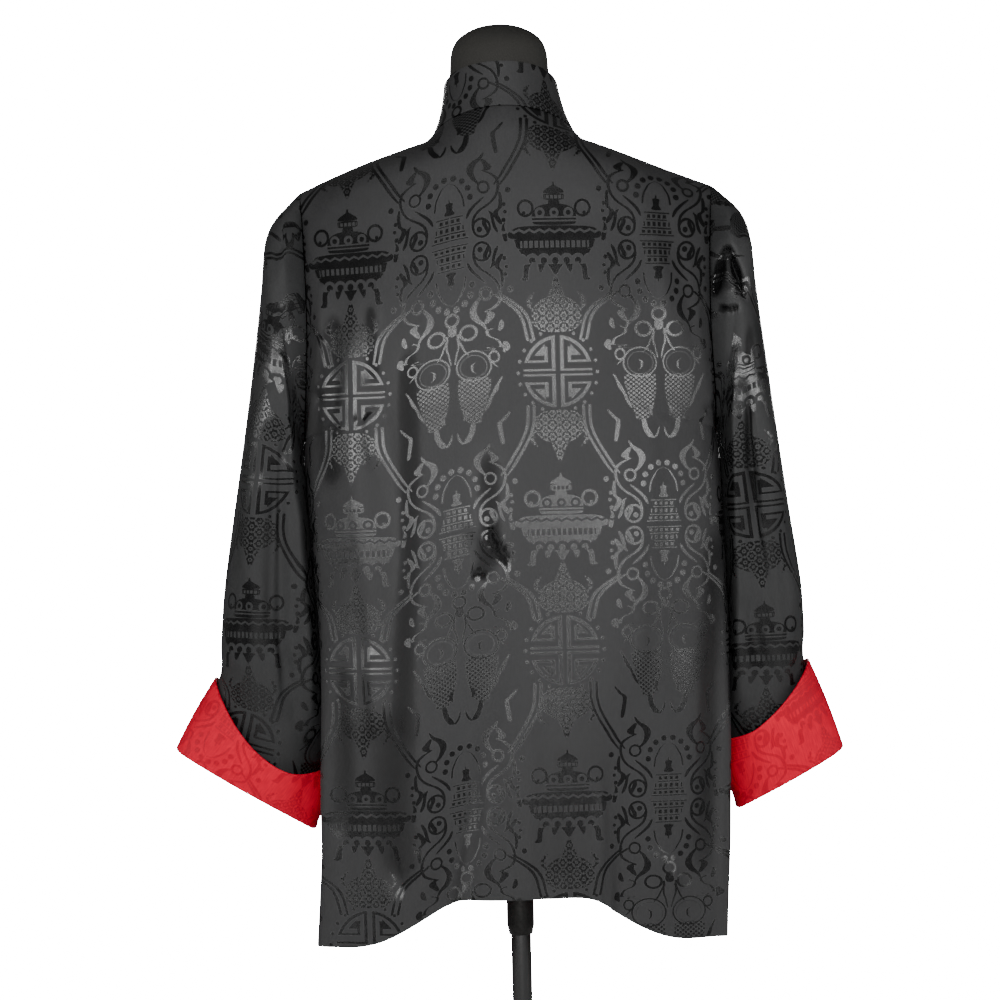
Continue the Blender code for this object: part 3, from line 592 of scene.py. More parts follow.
class Shader:
    """A material's nodes."""

    def __init__(self, name: str) -> None:
        """Starts an empty material.

        Args:
            name: The material's name.
        """
        self.material = bpy.data.materials.new(name)
        self.material.use_nodes = True
        self.tree = self.material.node_tree
        self.tree.nodes.clear()

    def node(self, kind: str, settings: dict, inputs: dict) -> bpy.types.Node:
        """Adds a node.

        Args:
            kind: Its type.
            settings: Its own settings, with the points of a curve.
            inputs: Values, Fields or sockets, by the input's name or number.

        Returns:
            The node.
        """
        made = self.tree.nodes.new(kind)
        for key, value in settings.items():
            if key == "points":
                curve = made.mapping.curves[0]
                made.mapping.extend = "HORIZONTAL"
                for _ in value[2:]:
                    curve.points.new(0.5, 0.5)
                for point, stop in zip(curve.points, value):
                    point.location = stop
                    point.handle_type = "AUTO_CLAMPED"
                made.mapping.update()
            else:
                setattr(made, key, value)
        for key, value in inputs.items():
            if isinstance(value, Field):
                value = value.socket
            if isinstance(value, bpy.types.NodeSocket):
                self.tree.links.new(value, made.inputs[key])
            elif isinstance(value, tuple) and made.inputs[key].type == "RGBA":
                made.inputs[key].default_value = (*value, 1)
            else:
                made.inputs[key].default_value = value
        return made

    def field(self, node: bpy.types.Node, output: str | int = 0) -> Field:
        """A node's output as a Field."""
        return Field(self, node.outputs[output])

    def place(self) -> bpy.types.NodeSocket:
        """Object coordinates."""
        return self.node("ShaderNodeTexCoord", {}, {}).outputs["Object"]

    def attribute(self, name: str) -> Field:
        """A value that the mesh keeps at its points."""
        return self.field(self.node("ShaderNodeAttribute", {"attribute_name": name}, {}), "Fac")

    def height(self) -> Field:
        """How high a place is, in metres."""
        return self.field(self.node("ShaderNodeSeparateXYZ", {}, {0: self.place()}), 2)

    def cloth(self) -> tuple[bpy.types.NodeSocket, Field, Field]:
        """The cloth map, whole and as its two values in millimetres.

        Returns:
            The map itself, and its places across and along the cloth.
        """
        uv = self.node("ShaderNodeUVMap", {"uv_map": CLOTH_MAP}, {}).outputs[0]
        parts = self.node("ShaderNodeSeparateXYZ", {}, {0: uv})
        return uv, self.field(parts, 0) * 1000, self.field(parts, 1) * 1000

    def vector(self, operation: str, inputs: dict) -> bpy.types.NodeSocket:
        """Works a vector out from others."""
        return self.node("ShaderNodeVectorMath", {"operation": operation}, inputs).outputs[0]

    def blend(self, share: Field, first: object, second: object) -> bpy.types.NodeSocket:
        """Mixes two colours."""
        settings = {"data_type": "RGBA"}
        return self.node("ShaderNodeMix", settings, {0: share, 6: first, 7: second}).outputs[2]

    def noise(self, where: object, scale: float = 1.0, detail: float = 2.0) -> Field:
        """Soft noise from 0 to 1."""
        inputs = {"Vector": where, "Scale": scale, "Detail": detail}
        return self.field(self.node("ShaderNodeTexNoise", {}, inputs), "Fac")

    def stretch(self, where: object, scale: tuple[Number, Number, Number]) -> bpy.types.NodeSocket:
        """The place, scaled along each of its axes."""
        return self.node("ShaderNodeMapping", {}, {"Vector": where, "Scale": scale}).outputs[0]

    def shade(self, colour: tuple[float, float, float], tone: Field) -> bpy.types.NodeSocket:
        """A colour made lighter or darker by a share of itself."""
        return self.vector("SCALE", {0: colour, "Scale": tone + 1})

    def lean(self, up: Field, aside: Field) -> bpy.types.NodeSocket:
        """The surface's normal, leant upwards and to one side by shares of its length.

        Args:
            up: The share upwards.
            aside: The share sideways, along the surface.

        Returns:
            The leant normal.
        """
        normal = self.node("ShaderNodeNewGeometry", {}, {}).outputs["Normal"]
        beside = self.vector("CROSS_PRODUCT", {0: (0.0, 0.0, 1.0), 1: normal})
        beside = self.vector("SCALE", {0: beside, "Scale": aside})
        upward = self.node("ShaderNodeCombineXYZ", {}, {"Z": up}).outputs[0]
        added = self.vector("ADD", {0: self.vector("ADD", {0: normal, 1: upward}), 1: beside})
        return self.vector("NORMALIZE", {0: added})

    def bump(self, height: Field, distance: float, normal: object = None) -> bpy.types.NodeSocket:
        """A normal that follows a relief, whose height is in steps of the distance.

        Args:
            height: The relief.
            distance: What a height of 1 stands for, in metres.
            normal: The normal that it starts from.

        Returns:
            The new normal.
        """
        inputs = {"Height": height, "Distance": distance}
        if normal is not None:
            inputs["Normal"] = normal
        return self.node("ShaderNodeBump", {}, inputs).outputs[0]

    def finish(self, inputs: dict) -> bpy.types.Material:
        """Ends the material in one surface.

        Args:
            inputs: Values, Fields or sockets by the surface's input.

        Returns:
            The material.
        """
        surface = self.node("ShaderNodeBsdfPrincipled", {}, inputs)
        self.node("ShaderNodeOutputMaterial", {}, {"Surface": surface.outputs[0]})
        return self.material


@dataclass(frozen=True)
class Disc:
    """A dot, or with a line width a ring, at a place across and along the cloth."""

    across: float
    along: float
    radius: float
    line: float = 0.0
    squash: float = 1.0
    """How much taller than wide it is."""

    def depth(self, x: Field, y: Field) -> Field:
        """How far inside it a place is, in millimetres."""
        away = (x - self.across).reach((y - self.along) / self.squash)
        return self.line / 2 - abs(away - self.radius) if self.line else self.radius - away


@dataclass(frozen=True)
class Bar:
    """A straight block from one corner to the other."""

    low: tuple[float, float]
    high: tuple[float, float]

    def depth(self, x: Field, y: Field) -> Field:
        """How far inside it a place is, in millimetres.

        Args:
            x: Place across the cloth.
            y: Place along it.

        Returns:
            The depth, below 0 outside.
        """
        wide = (self.high[0] - self.low[0]) / 2 - abs(x - (self.high[0] + self.low[0]) / 2)
        tall = (self.high[1] - self.low[1]) / 2 - abs(y - (self.high[1] + self.low[1]) / 2)
        return wide.under(tall)


@dataclass(frozen=True)
class Stroke:
    """A brush stroke that runs along the cloth, as points of level, middle and half width."""

    points: tuple[tuple[float, float, float], ...]
    pair: float = 0.0
    """For a double line, the distance of each line from the middle."""
    taper: float = 1.2
    """How far past its ends it has faded away."""
    away: float = -4.0
    """Its half width from there on."""

    def depth(self, x: Field, y: Field) -> Field:
        """How far inside it a place is, in millimetres.

        Args:
            x: Place across the cloth.
            y: Place along it.

        Returns:
            The depth, below 0 outside.
        """
        points = sorted(self.points)
        start, end = (points[0][0] - self.taper, self.away), (points[-1][0] + self.taper, self.away)
        middle = y.curve([(level, place) for level, place, _ in points])
        half = y.curve([start, *((level, wide) for level, _, wide in points), end])
        beside = abs(x - middle)
        return half - (abs(beside - self.pair) if self.pair else beside)


MEDALLION = (
    Bar((2.0, 3.0), (5.8, 29.5)),
    Bar((2.0, 1.1), (31.5, 3.4)),
    Bar((8.8, 8.6), (12.4, 22.5)),
    Bar((8.8, 8.6), (29.5, 11.0)),
)
"""The bars of the round longevity sign in one quarter, measured from its middle."""

GARLAND = (
    Stroke(((35, 0, 13), (38, 0, 19), (44, 0, 23), (51, 0, 23), (57, 0, 19), (61, 0, 14), (63, 0, 8))),
    Stroke(((62, 0, 8), (68, 0, 6), (74, 0, 3.6), (81, 0, 0.6))),
    Stroke(((53, 22, 0.8), (58, 24.5, 2.4), (62, 24, 2.2), (67, 20, 0.4))),
)
"""Flowers above and below the longevity sign, mirrored over its middle."""

CENSER = (
    Stroke(((34.5, 0, 9.8), (36.5, 0, 8.5), (38.5, 0, 5.5), (40, 0, 3), (41, 0, 1.5), (44, 0, 0.5))),
    Stroke(((28.6, 0, 9.4), (32.6, 0, 9.8))),
    Stroke(((24.6, 0, 5.5), (27.8, 0, 4.5))),
    Stroke(((7.5, 0, 19), (12, 0, 20.5), (17, 0, 20), (21, 0, 17), (23.8, 0, 10))),
    Stroke(((-4.6, 0, 40), (-1, 0, 43), (2, 0, 40), (5, 0, 33))),
    Stroke(((-13, 0, 34), (-9, 0, 36), (-5.6, 0, 37))),
    Stroke(((-24, 0, 24), (-20, 0, 29), (-16, 0, 32), (-14, 0, 33))),
    Stroke(((-35, 0, 1), (-30, 0, 4.5), (-26, 0, 7))),
    Stroke(((-39, 28.5, 3.5), (-36, 27, 2.6), (-30, 26.5, 2.6), (-25, 24, 3.2))),
    Stroke(((-33, 13.5, 0.8), (-29, 13, 2.8), (-25, 12, 3.6))),
    Stroke(((-6, 44.5, 2), (0, 45.5, 2.4), (5, 46.5, 1.6), (9, 45, 0.6))),
    Disc(26.0, 21.0, 6.6, 2.8),
    Disc(27.5, 17.0, 1.8),
)
"""The incense burner: roof, neck, jar, brim, bowl, legs and handles, by height from its brim."""

FISH = (
    Disc(19, 7.6, 15.6, 2.0, 0.82),
    Disc(18.6, 7.2, 12.2, 0.9, 0.80),
    Stroke(((1, 20.5, 0.3), (4, 17.4, 1.1), (7.5, 17.2, 1.3), (10.5, 20, 0.5))),
    Stroke(((-61, 9.5, 0.4), (-59.5, 11, 3), (-57, 12.5, 3.2), (-52, 15.4, 2.8), (-44, 17, 2.2))),
    Stroke(((-60.5, 7.5, 1.6), (-58, 5, 1.5), (-54, 3.2, 1), (-50.5, 2.4, 0.3))),
    Stroke((
        (-33, 28, 0.8), (-27, 31.5, 1.8), (-21, 34, 1.5), (-14.5, 38, 2.2), (-8, 41, 1.4),
        (-3, 44, 1),
    )),
    Stroke(((-63, 43.5, 1.6), (-54, 42, 2.2), (-46, 41, 2.2), (-41, 45, 2), (-35, 50, 1))),
    Stroke(((-40, 9, 0.8), (-36, 10.5, 2), (-31, 8, 0.6))),
)
"""One of the paired fish and the leaves beside its tail."""

SCALES = Stroke((
    (-43, 19, 5.5), (-38, 17.5, 8), (-30, 17.5, 11), (-20, 18, 13.5), (-10, 19, 15), (-3.6, 19.5, 15),
))
"""Where a fish is scaled."""

BOW = (
    Disc(0, 48.5, 5.6, 2.8, 0.9),
    Disc(14.6, 36.0, 7.4, 3.0, 0.78),
    Stroke(((36, 0, 3), (40, 0, 4.2), (44, 0, 2.4))),
    Stroke(((12, 1.8, 0.8), (20, 3.6, 1), (28, 5.5, 1.2), (36, 5, 1.4))),
    Stroke(((18, 14, 1), (22, 10.5, 1.2), (27, 7.8, 1.2), (33, 4.5, 1.3))),
    Disc(37.5, 15, 4.4, 2.2),
    Stroke(((6, 40.5, 0.5), (9, 37, 1.2), (11.5, 34.5, 0.6))),
    Stroke(((20, 27, 1), (22.6, 32, 1.5), (21.5, 38, 1.4), (23, 43, 1.6))),
    Stroke(((23.5, 44.5, 1.8), (28, 42, 1.4), (33, 32.5, 1.6), (36, 31.5, 1.5), (38, 36, 1.6))),
    Stroke(((37, 43, 1.5), (40, 44.5, 2.6), (45, 45, 1.2))),
    Stroke(((19, 47, 1.5), (23, 49, 3.4), (27, 48, 2))),
)
"""The bow over the fish and the cloud scrolls beside it."""

OGEE = (
    Stroke((
        (-92, 51, 0.8), (-84, 45, 1.3), (-75, 39.5, 1.4), (-65, 33.5, 1.3), (-56, 29, 1.2),
        (-46, 26, 1.2), (-30, 25.2, 1.2),
    ), 2.8),
    Stroke(((28, 24, 1.2), (36, 26, 1.2), (44, 28, 1.3), (51, 32, 1.6), (58, 40, 2), (67, 54, 1.6)), 2.8),
)
"""The double lines that frame the longevity sign."""

SCROLL = (
    Stroke((
        (66, 31, 1.4), (70, 39.5, 1.8), (74, 43.5, 1.3), (79, 44.8, 1.2), (86, 43.5, 1.2),
        (92, 40, 1.3), (97, 34, 1.7), (102.5, 26, 1.6), (108, 22, 1.2), (114, 21, 1.1),
        (118, 21.8, 1),
    )),
    Disc(28.8, 116.0, 7.6, 2.0),
    Disc(27.0, 117.5, 2.4),
    Stroke(((109, 31, 0.8), (113, 31.5, 2), (117, 33.5, 1.8), (120, 34, 0.6))),
    Stroke((
        (50, 31.5, 0.5), (54, 29, 1.6), (58, 24, 3.2), (62, 20.6, 3.3), (66, 19.6, 3),
        (72, 21.6, 2.2), (78, 27, 1.2),
    )),
    Disc(31.3, 81.0, 4.9, 1.8),
    Stroke(((56, 31, 1.2), (59.5, 33.5, 2.8), (63, 35.5, 3.4), (66.5, 33, 1.4))),
    Stroke(((90, 31, 0.6), (94, 26, 1.6), (98, 21.5, 1.8), (102, 18, 1.6), (107, 15.5, 0.6))),
    Stroke((
        (86, 46, 0.8), (92, 46.6, 1.5), (99, 46, 1.7), (104, 42, 2.2), (108, 43.5, 2.4),
        (113, 46.5, 1.2),
    )),
    Stroke(((102, 36, 0.6), (105, 38.5, 1.6), (109, 39, 1.4), (116, 41, 1.6), (120, 43, 0.6))),
    Disc(49.5, 96.5, 1.7),
    Disc(50.5, 103.0, 1.5),
    Disc(49.0, 110.0, 1.8),
    Disc(53.5, 84.0, 2.4),
)
"""The scrolls on both sides of the shrine."""

SHRINE = (
    Stroke(((92, 0, 3.6), (97, 0, 3), (101, 0, 5))),
    Stroke(((88, 0, 0.3), (92, 0, 1), (95, 0, 1.4))),
    Bar((0, 103.5), (12.5, 104.9)),
    Bar((0, 109.6), (10.5, 111.0)),
    Bar((0, 116.6), (14.0, 118.2)),
    Bar((0, 122.6), (17.0, 124.0)),
)
"""The shrine between the scrolls: its flame and the lines of its base."""


@dataclass(frozen=True)
class Jacquard:
    """The pattern that is woven in: two columns in turn, mirrored over their middles.

    One column holds longevity signs with flowers and incense burners, the other paired fish with
    bows and shrines. Sizes are in millimetres.
    """

    width: float = 190.0
    """From one column of longevity signs to the next."""
    period: float = 252.0
    """From one longevity sign to the next below it."""
    sign_across: float = 46.5
    sign_along: float = 963.5
    brim: float = 135.0
    """From a sign down to the incense burner's brim."""
    shrine: float = 139.5
    """From a sign's level down to the shrine's middle."""
    soft: float = 0.45
    """Half of the width over which a figure's edge fades."""
    rim: float = 30.1
    """Radius of the sign's ring."""
    rim_line: float = 1.7
    """Half of its line's width."""
    dots: int = 22
    """How many dots stand round the sign."""
    dots_radius: float = 36.0
    dot: float = 1.75
    """A dot's radius."""
    arch_level: float = 89.0
    """Where the arch over the shrine has its middle."""
    arch: float = 19.0
    """Its radius."""
    bead: float = 2.9
    """Radius of one of its beads."""
    beads: int = 14
    """How many beads a whole round would have."""

    def figure(self, u: Field, v: Field) -> Field:
        """Where the figure lies over the ground, from 0 to 1.

        Args:
            u: Place across the cloth.
            v: Place along it.

        Returns:
            1 in the figure, 0 in the ground.
        """
        a = (u - self.sign_across).fold(self.width / 2)
        b = self.width / 2 - a
        v = v - self.sign_along
        half = self.period / 2
        level = v.wrap(-half, half)
        from_sign = abs(level)
        burner = (v + self.brim).wrap(-half, half)
        shrine = half - abs((v + self.shrine).wrap(-half, half))
        depth = self.sign(a, level, from_sign)
        depth = self.union(depth, GARLAND, a, from_sign, self.flowers(a, from_sign))
        depth = depth.over(self.burner(a, burner))
        depth = self.union(depth, OGEE, a, level, grow=0.35)
        depth = self.union(depth, FISH, b, level)
        depth = depth.over(self.scales(b, level))
        depth = self.union(depth, BOW, b, level)
        depth = self.union(depth, SCROLL, b, shrine, grow=0.35)
        depth = depth.over(self.shrine_front(b, shrine))
        return (depth / (2 * self.soft) + 0.5).clamp()

    def union(
        self, depth: Field, shapes: tuple, x: Field, y: Field, cut: Field | None = None, grow: float = 0
    ) -> Field:
        """Adds shapes to a depth, each one grown all round and less what is cut from it.

        Args:
            depth: What there is already.
            shapes: The shapes to add.
            x: Place across the cloth.
            y: Place along it.
            cut: A depth that each new shape is kept inside.
            grow: How much wider each shape is made all round.

        Returns:
            The depth of all of them.
        """
        for shape in shapes:
            more = shape.depth(x, y) + grow if grow else shape.depth(x, y)
            depth = depth.over(more if cut is None else more.under(cut))
        return depth

    def sign(self, a: Field, level: Field, from_sign: Field) -> Field:
        """The longevity sign with the dots round it.

        Args:
            a: Distance from the column's middle.
            level: Height from the sign's middle.
            from_sign: The same without its sign.

        Returns:
            Its depth.
        """
        r = a.reach(level)
        depth = (self.rim_line - abs(r - self.rim)).under(a - 2.0).under(from_sign - 8.6)
        inside = 31.6 - r
        for bar in MEDALLION:
            depth = depth.over(bar.depth(a, from_sign).under(inside))
        flag = (a - 11.5).under(from_sign - 14.6).under((36.5 - a - from_sign) * 0.7)
        turn = level.math("ARCTAN2", a).fold(math.pi / self.dots) * self.dots_radius
        return depth.over(flag).over(self.dot - (r - self.dots_radius).reach(turn))

    def flowers(self, a: Field, along: Field) -> Field:
        """Rows of five-petalled flowers, with smaller ones between them.

        Args:
            a: Distance from the column's middle.
            along: Distance from the sign's middle.

        Returns:
            Their depth.
        """
        beds = (
            (a.fold(6.4), along.fold(5.3), 5.5, 1.4),
            ((a + 6.4).fold(6.4), (along + 5.3).fold(5.3), 4.3, 1.0),
        )
        depths = []
        for x, y, reach, eye in beds:
            r = x.reach(y)
            turn = y.math("ARCTAN2", x).fold(math.pi / 5)
            depths.append((reach - r - r * turn * 1.1).under(abs(r - eye) - 0.35))
        bud = 1.0 - (a + 6.4).fold(6.4).reach(along.fold(5.3))
        return depths[0].over(depths[1]).over(bud)

    def burner(self, a: Field, up: Field) -> Field:
        """The incense burner with its dark lines, teeth and swags.

        Args:
            a: Distance from the column's middle.
            up: Height from the brim.

        Returns:
            Its depth.
        """
        depth = self.union(CENSER[0].depth(a, up), CENSER[1:], a, up)
        teeth = Bar((-40, -12.2), (31, -7.0)).depth(a, up).under(a.fold(2.4) - 1.1)
        windows = Bar((-9, 29.3), (8.4, 31.8)).depth(a, up).under(a.fold(1.9) - 0.8)
        swags = 1.3 - abs((a.fold(5.2)).reach(up + 23.5) - 4.6)
        swags = swags.under(Bar((-40, -26), (30, -15.4)).depth(a, up))
        bands = [Bar((-1, z), (24, z + 0.9)).depth(a, up) for z in (12.6, 9.6)]
        cloud = (0.9 - abs((a - 13).reach(up - 17) - 3.4)).over(0.9 - abs(a.reach(up - 17) - 3.0))
        wave = 0.8 - abs(up - 0.4 - a.fold(4.6) * 0.5)
        for gap in (teeth, windows, swags, *bands, cloud, wave):
            depth = depth.under(-gap)
        return depth

    def scales(self, b: Field, level: Field) -> Field:
        """The fish's scaled body.

        Args:
            b: Distance from the column's middle.
            level: Height from the sign in the next column.

        Returns:
            Their depth.
        """
        one = b.fold(2.55).reach((level * 1.15).fold(2.3))
        other = (b + 2.55).fold(2.55).reach((level * 1.15 + 2.3).fold(2.3))
        return (1.6 - one.under(other)).under(SCALES.depth(b, level))

    def shrine_front(self, b: Field, level: Field) -> Field:
        """The arch of beads over the lobed arch, the flame and the base with its blocks.

        Args:
            b: Distance from the column's middle.
            level: Distance from the level between two shrines.

        Returns:
            Its depth.
        """
        depth = self.union(SHRINE[0].depth(b, level), SHRINE[1:], b, level)
        away = b.reach(level - self.arch_level)
        turn = (self.arch_level - level).math("ARCTAN2", b).fold(math.pi / self.beads) * self.arch
        beads = (self.bead - (away - self.arch).reach(turn)).under(self.arch_level + 4 - level)
        lobe = Stroke(((74, 0, 0.4), (78, 6.5, 0.8), (82, 9, 1), (88, 12, 1.0), (96, 13.4, 1.0)))
        hoods = lobe.depth(b, level)
        blocks = Bar((-1, 105.6), (11.5, 109)).depth(b, level)
        blocks = blocks.over(Bar((-1, 111.8), (13, 116)).depth(b, level))
        blocks = blocks.over(Bar((-1, 119), (16, 122)).depth(b, level)).under(b.fold(2.6) - 0.9)
        return depth.over(beads).over(hoods).over(blocks)


@dataclass(frozen=True)
class Brocade:
    """Figured silk: the figure is a satin of one face, and the ground of the other."""

    name: str
    ground: tuple[float, float, float]
    figure: tuple[float, float, float]
    ground_rough: float
    figure_rough: float
    specular: float
    ground_spread: float = 0.35
    """How far the round of each weft thread turns the ground up and down, as a slope."""
    figure_spread: float = 0.60
    """How far the round of each warp thread turns the figure to its sides."""
    warp: float = 0.23
    """Half of the distance from one warp thread to the next, in millimetres."""
    weft: float = 0.27
    """The same for the weft."""
    slub: float = 0.035
    """How much the threads' thickness varies, in millimetres."""
    pattern: Jacquard = Jacquard()
    hang: float = 0.0
    """How far the lower part of a sleeve faces the floor, as a slope."""
    fall: float = 0.9
    # How far the normal is leant towards the floor where the painted shade is full, as a slope.
    """How far the cloth in a full tuck faces the floor, as a slope."""

    def material(self) -> bpy.types.Material:
        """Builds the finish.

        Returns:
            The material.
        """
        shader = Shader(self.name)
        uv, u, v = shader.cloth()
        figure = self.pattern.figure(u, v)
        fleck = shader.noise(uv, scale=90.0, detail=3.0)
        thread = shader.noise(shader.stretch(uv, (900.0, 90.0, 1.0)), detail=1.0)
        tone = fleck.swing(0.30) + thread.swing(0.5)
        ground = shader.shade(self.ground, tone)
        colour = shader.blend(figure, ground, shader.shade(self.figure, tone))
        # Painted shade in creases and hollows: the ground takes the figure's dark colour and roughness
        # and its normal is leant down; past 0.5 the figure's normal is leant down too.
        tuck = shader.attribute(PAINTED_SHADE)
        ground_shade, figure_shade = (tuck * 2).clamp(), (tuck * 2 - 1).clamp()
        colour = shader.blend(ground_shade, colour, self.figure)
        rough = self.ground_rough + figure.over(ground_shade) * (self.figure_rough - self.ground_rough)
        rough = rough + fleck.swing(0.08) + thread.swing(0.06)
        warp = (u + (v * 0.7).fold(0.25)).fold(self.warp) * (2 / self.warp) - 1
        weft = (v + (u * 0.7).fold(0.25)).fold(self.weft) * (2 / self.weft) - 1
        up = weft * (1 - figure.over(ground_shade)) * self.ground_spread
        up = up - ground_shade * (1 - figure * (1 - figure_shade)) * self.fall
        if self.hang:
            up = up - shader.height().curve([(0.80, self.hang), (0.89, self.hang * 0.75), (0.96, 0)])
        leant = shader.lean(up, warp * figure * self.figure_spread)
        inputs = {
            "Base Color": colour,
            "Roughness": rough,
            "Normal": shader.bump(thread.swing(self.slub), 0.001, leant),
            "Specular IOR Level": self.specular,
        }
        return shader.finish(inputs)


@dataclass(frozen=True)
class CordSatin:
    """Round satin cord, whose twisted strands run slanting round it."""

    name: str = "black_cord"
    colour: tuple[float, float, float] = (0.012, 0.012, 0.0125)
    strand: float = 1.1
    """From one strand to the next along the cord, in millimetres."""

    def material(self) -> bpy.types.Material:
        """Builds the finish.

        Returns:
            The material.
        """
        shader = Shader(self.name)
        uv, around, along = shader.cloth()
        twist = (along + around * 0.8).fold(self.strand / 2) * (2 / self.strand)
        fibre = shader.noise(shader.stretch(uv, (2600.0, 500.0, 1.0)))
        tone = fibre.swing(0.6) + twist.swing(0.5)
        inputs = {
            "Base Color": shader.shade(self.colour, tone),
            "Roughness": fibre.swing(0.15) + 0.36,
            "Normal": shader.bump(twist * 0.5 + fibre * 0.15, 0.00025),
            "Specular IOR Level": 0.6,
        }
        return shader.finish(inputs)


@dataclass(frozen=True)
class Jersey:
    """The knitted cover of the dress form, in fine upright ribs."""

    name: str = "form_cover"
    colour: tuple[float, float, float] = (0.034, 0.033, 0.030)
    rib: float = 1.6
    """From one rib to the next, in millimetres."""

    def material(self) -> bpy.types.Material:
        """Builds the finish.

        Returns:
            The material.
        """
        shader = Shader(self.name)
        uv, around, along = shader.cloth()
        wale = around.fold(self.rib / 2) * (2 / self.rib)
        loop = (along + wale * 0.5).fold(0.6) * (1 / 0.6)
        wear = shader.noise(uv, scale=14.0, detail=4.0)
        fuzz = shader.noise(uv, scale=1800.0)
        tone = wear.swing(0.5) + fuzz.swing(0.5) + wale.swing(0.3)
        inputs = {
            "Base Color": shader.shade(self.colour, tone),
            "Roughness": wear.swing(0.2) + 0.85,
            "Normal": shader.bump(wale * 0.6 + loop * 0.3 + fuzz * 0.3, 0.0003),
            "Specular IOR Level": 0.25,
        }
        return shader.finish(inputs)


@dataclass(frozen=True)
class Coated:
    """Turned metal, bare or painted: fine lines run round it, with specks of dust."""

    name: str
    colour: tuple[float, float, float]
    rough: float
    metallic: float = 0.0
    lines: float = 0.2
    """How deep the turning lines are."""

    def material(self) -> bpy.types.Material:
        """Builds the finish.

        Returns:
            The material.
        """
        shader = Shader(self.name)
        place = shader.place()
        grain = shader.noise(shader.stretch(place, (6.0, 6.0, 1400.0)))
        dust = shader.noise(place, scale=260.0, detail=5.0)
        smear = shader.noise(place, scale=9.0, detail=3.0)
        tone = grain.swing(0.3) + dust.swing(0.7) + smear.swing(0.4)
        rough = smear.swing(0.25) + dust.swing(0.15) + self.rough
        inputs = {
            "Base Color": shader.shade(self.colour, tone),
            "Roughness": rough.clamp(),
            "Normal": shader.bump(grain * self.lines + dust * 0.12, 0.0004),
            "Metallic": self.metallic,
        }
        return shader.finish(inputs)


# ---------------------------------------------------------------- pieces


@dataclass
class ClothPart:
    """A piece of the jacket that is made again on its solid's outside."""

    node: str
    finishes: tuple[bpy.types.Material, bpy.types.Material]
    creases: tuple[Crease, ...] = ()
    slot: str = "black_brocade"
    ring: bool = False
    rows: int = 8
    """Into how many each row of the solid goes."""
    columns: int = 5
    turning: float = 0.035
    """How far from a sewn edge the reverse is bound."""
    flat: tuple[float, float] = (0.4, 0.75)
    # The cut's width and length. It is not used.
    """The cut's width and length."""
    area: float | None = None
    flush: float = 0.001
    """How far from a seam the creases begin."""
    easing: float = 0.010
    """How far on they are whole."""

    def surface(self) -> np.ndarray:
        """The solid's outside, as a finer grid."""
        return refine(read_grid(self.node), self.rows, self.columns, self.ring)

    def from_seam(self, grid: np.ndarray) -> np.ndarray:
        """How far each point is from the nearest sewn edge: a piece without one is far from all."""
        return np.full(grid.shape[:2], 1.0)

    def crease(self, grid: np.ndarray) -> np.ndarray:
        """The grid with its creases, which fade out at the seams.

        Args:
            grid: The piece's points, as rows by columns.

        Returns:
            The creased points.
        """
        normals = grid_normals(grid, self.ring)
        lift = self.sum_up(grid, normals, "height") / 1000
        lift = lift * smooth_step(self.from_seam(grid), self.flush, self.easing)
        return grid + normals * lift[..., None]

    def sum_up(self, grid: np.ndarray, normals: np.ndarray, measure: str) -> np.ndarray:
        """Adds up one of the creases' measures, where each of them shows.

        Args:
            grid: The piece's points, as rows by columns.
            normals: Their outward normals.
            measure: The field's name.

        Returns:
            The sum at each point.
        """
        shares = (getattr(crease, measure) * crease.relief(grid, normals) for crease in self.creases)
        return sum(shares, np.zeros(grid.shape[:2]))

    def cloth_map(self, grid: np.ndarray) -> np.ndarray:
        """Where each point lies on the cloth, in metres across and along it."""
        raise NotImplementedError

    def build(self) -> bpy.types.Object:
        """Makes the piece and puts it in its solid's place.

        Returns:
            The piece.
        """
        grid = Padding().lift(self.surface())
        cloth = self.cloth_map(grid)
        bound = self.from_seam(grid) < self.turning
        # Sums the painted shade that the creases lay over their troughs and hollows.
        painted_shading = self.sum_up(grid, grid_normals(grid, self.ring), "tuck")
        mesh = cloth_mesh(self.node, self.crease(grid), cloth, self.ring, bound, painted_shading)
        piece = cloth_piece(f"{self.node}_cloth", mesh, self.finishes)
        return self.declare(piece)

    def declare(self, piece: bpy.types.Object) -> bpy.types.Object:
        """Hides the solid that the piece stands in for, and logs that it is dressed.

        Args:
            piece: The finished piece.

        Returns:
            The same piece.
        """
        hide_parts(self.node)
        log.info("%s is dressed", self.node)
        return piece


@dataclass(frozen=True)
class Padding:
    """The raised place on the left shoulder: its middle, how far it reaches and its height."""

    x: float = 0.150
    z: float = 1.165
    width: float = 0.062
    depth: float = 0.045
    height: float = 0.0045

    def lift(self, grid: np.ndarray) -> np.ndarray:
        """Lifts every piece alike, so that the seams still meet.

        Args:
            grid: A piece's points.

        Returns:
            The lifted points.
        """
        away = np.hypot((grid[..., 0] - self.x) / self.width, (grid[..., 2] - self.z) / self.depth)
        lifted = grid.copy()
        lifted[..., 2] += self.height * np.exp(-(away**2))
        return lifted


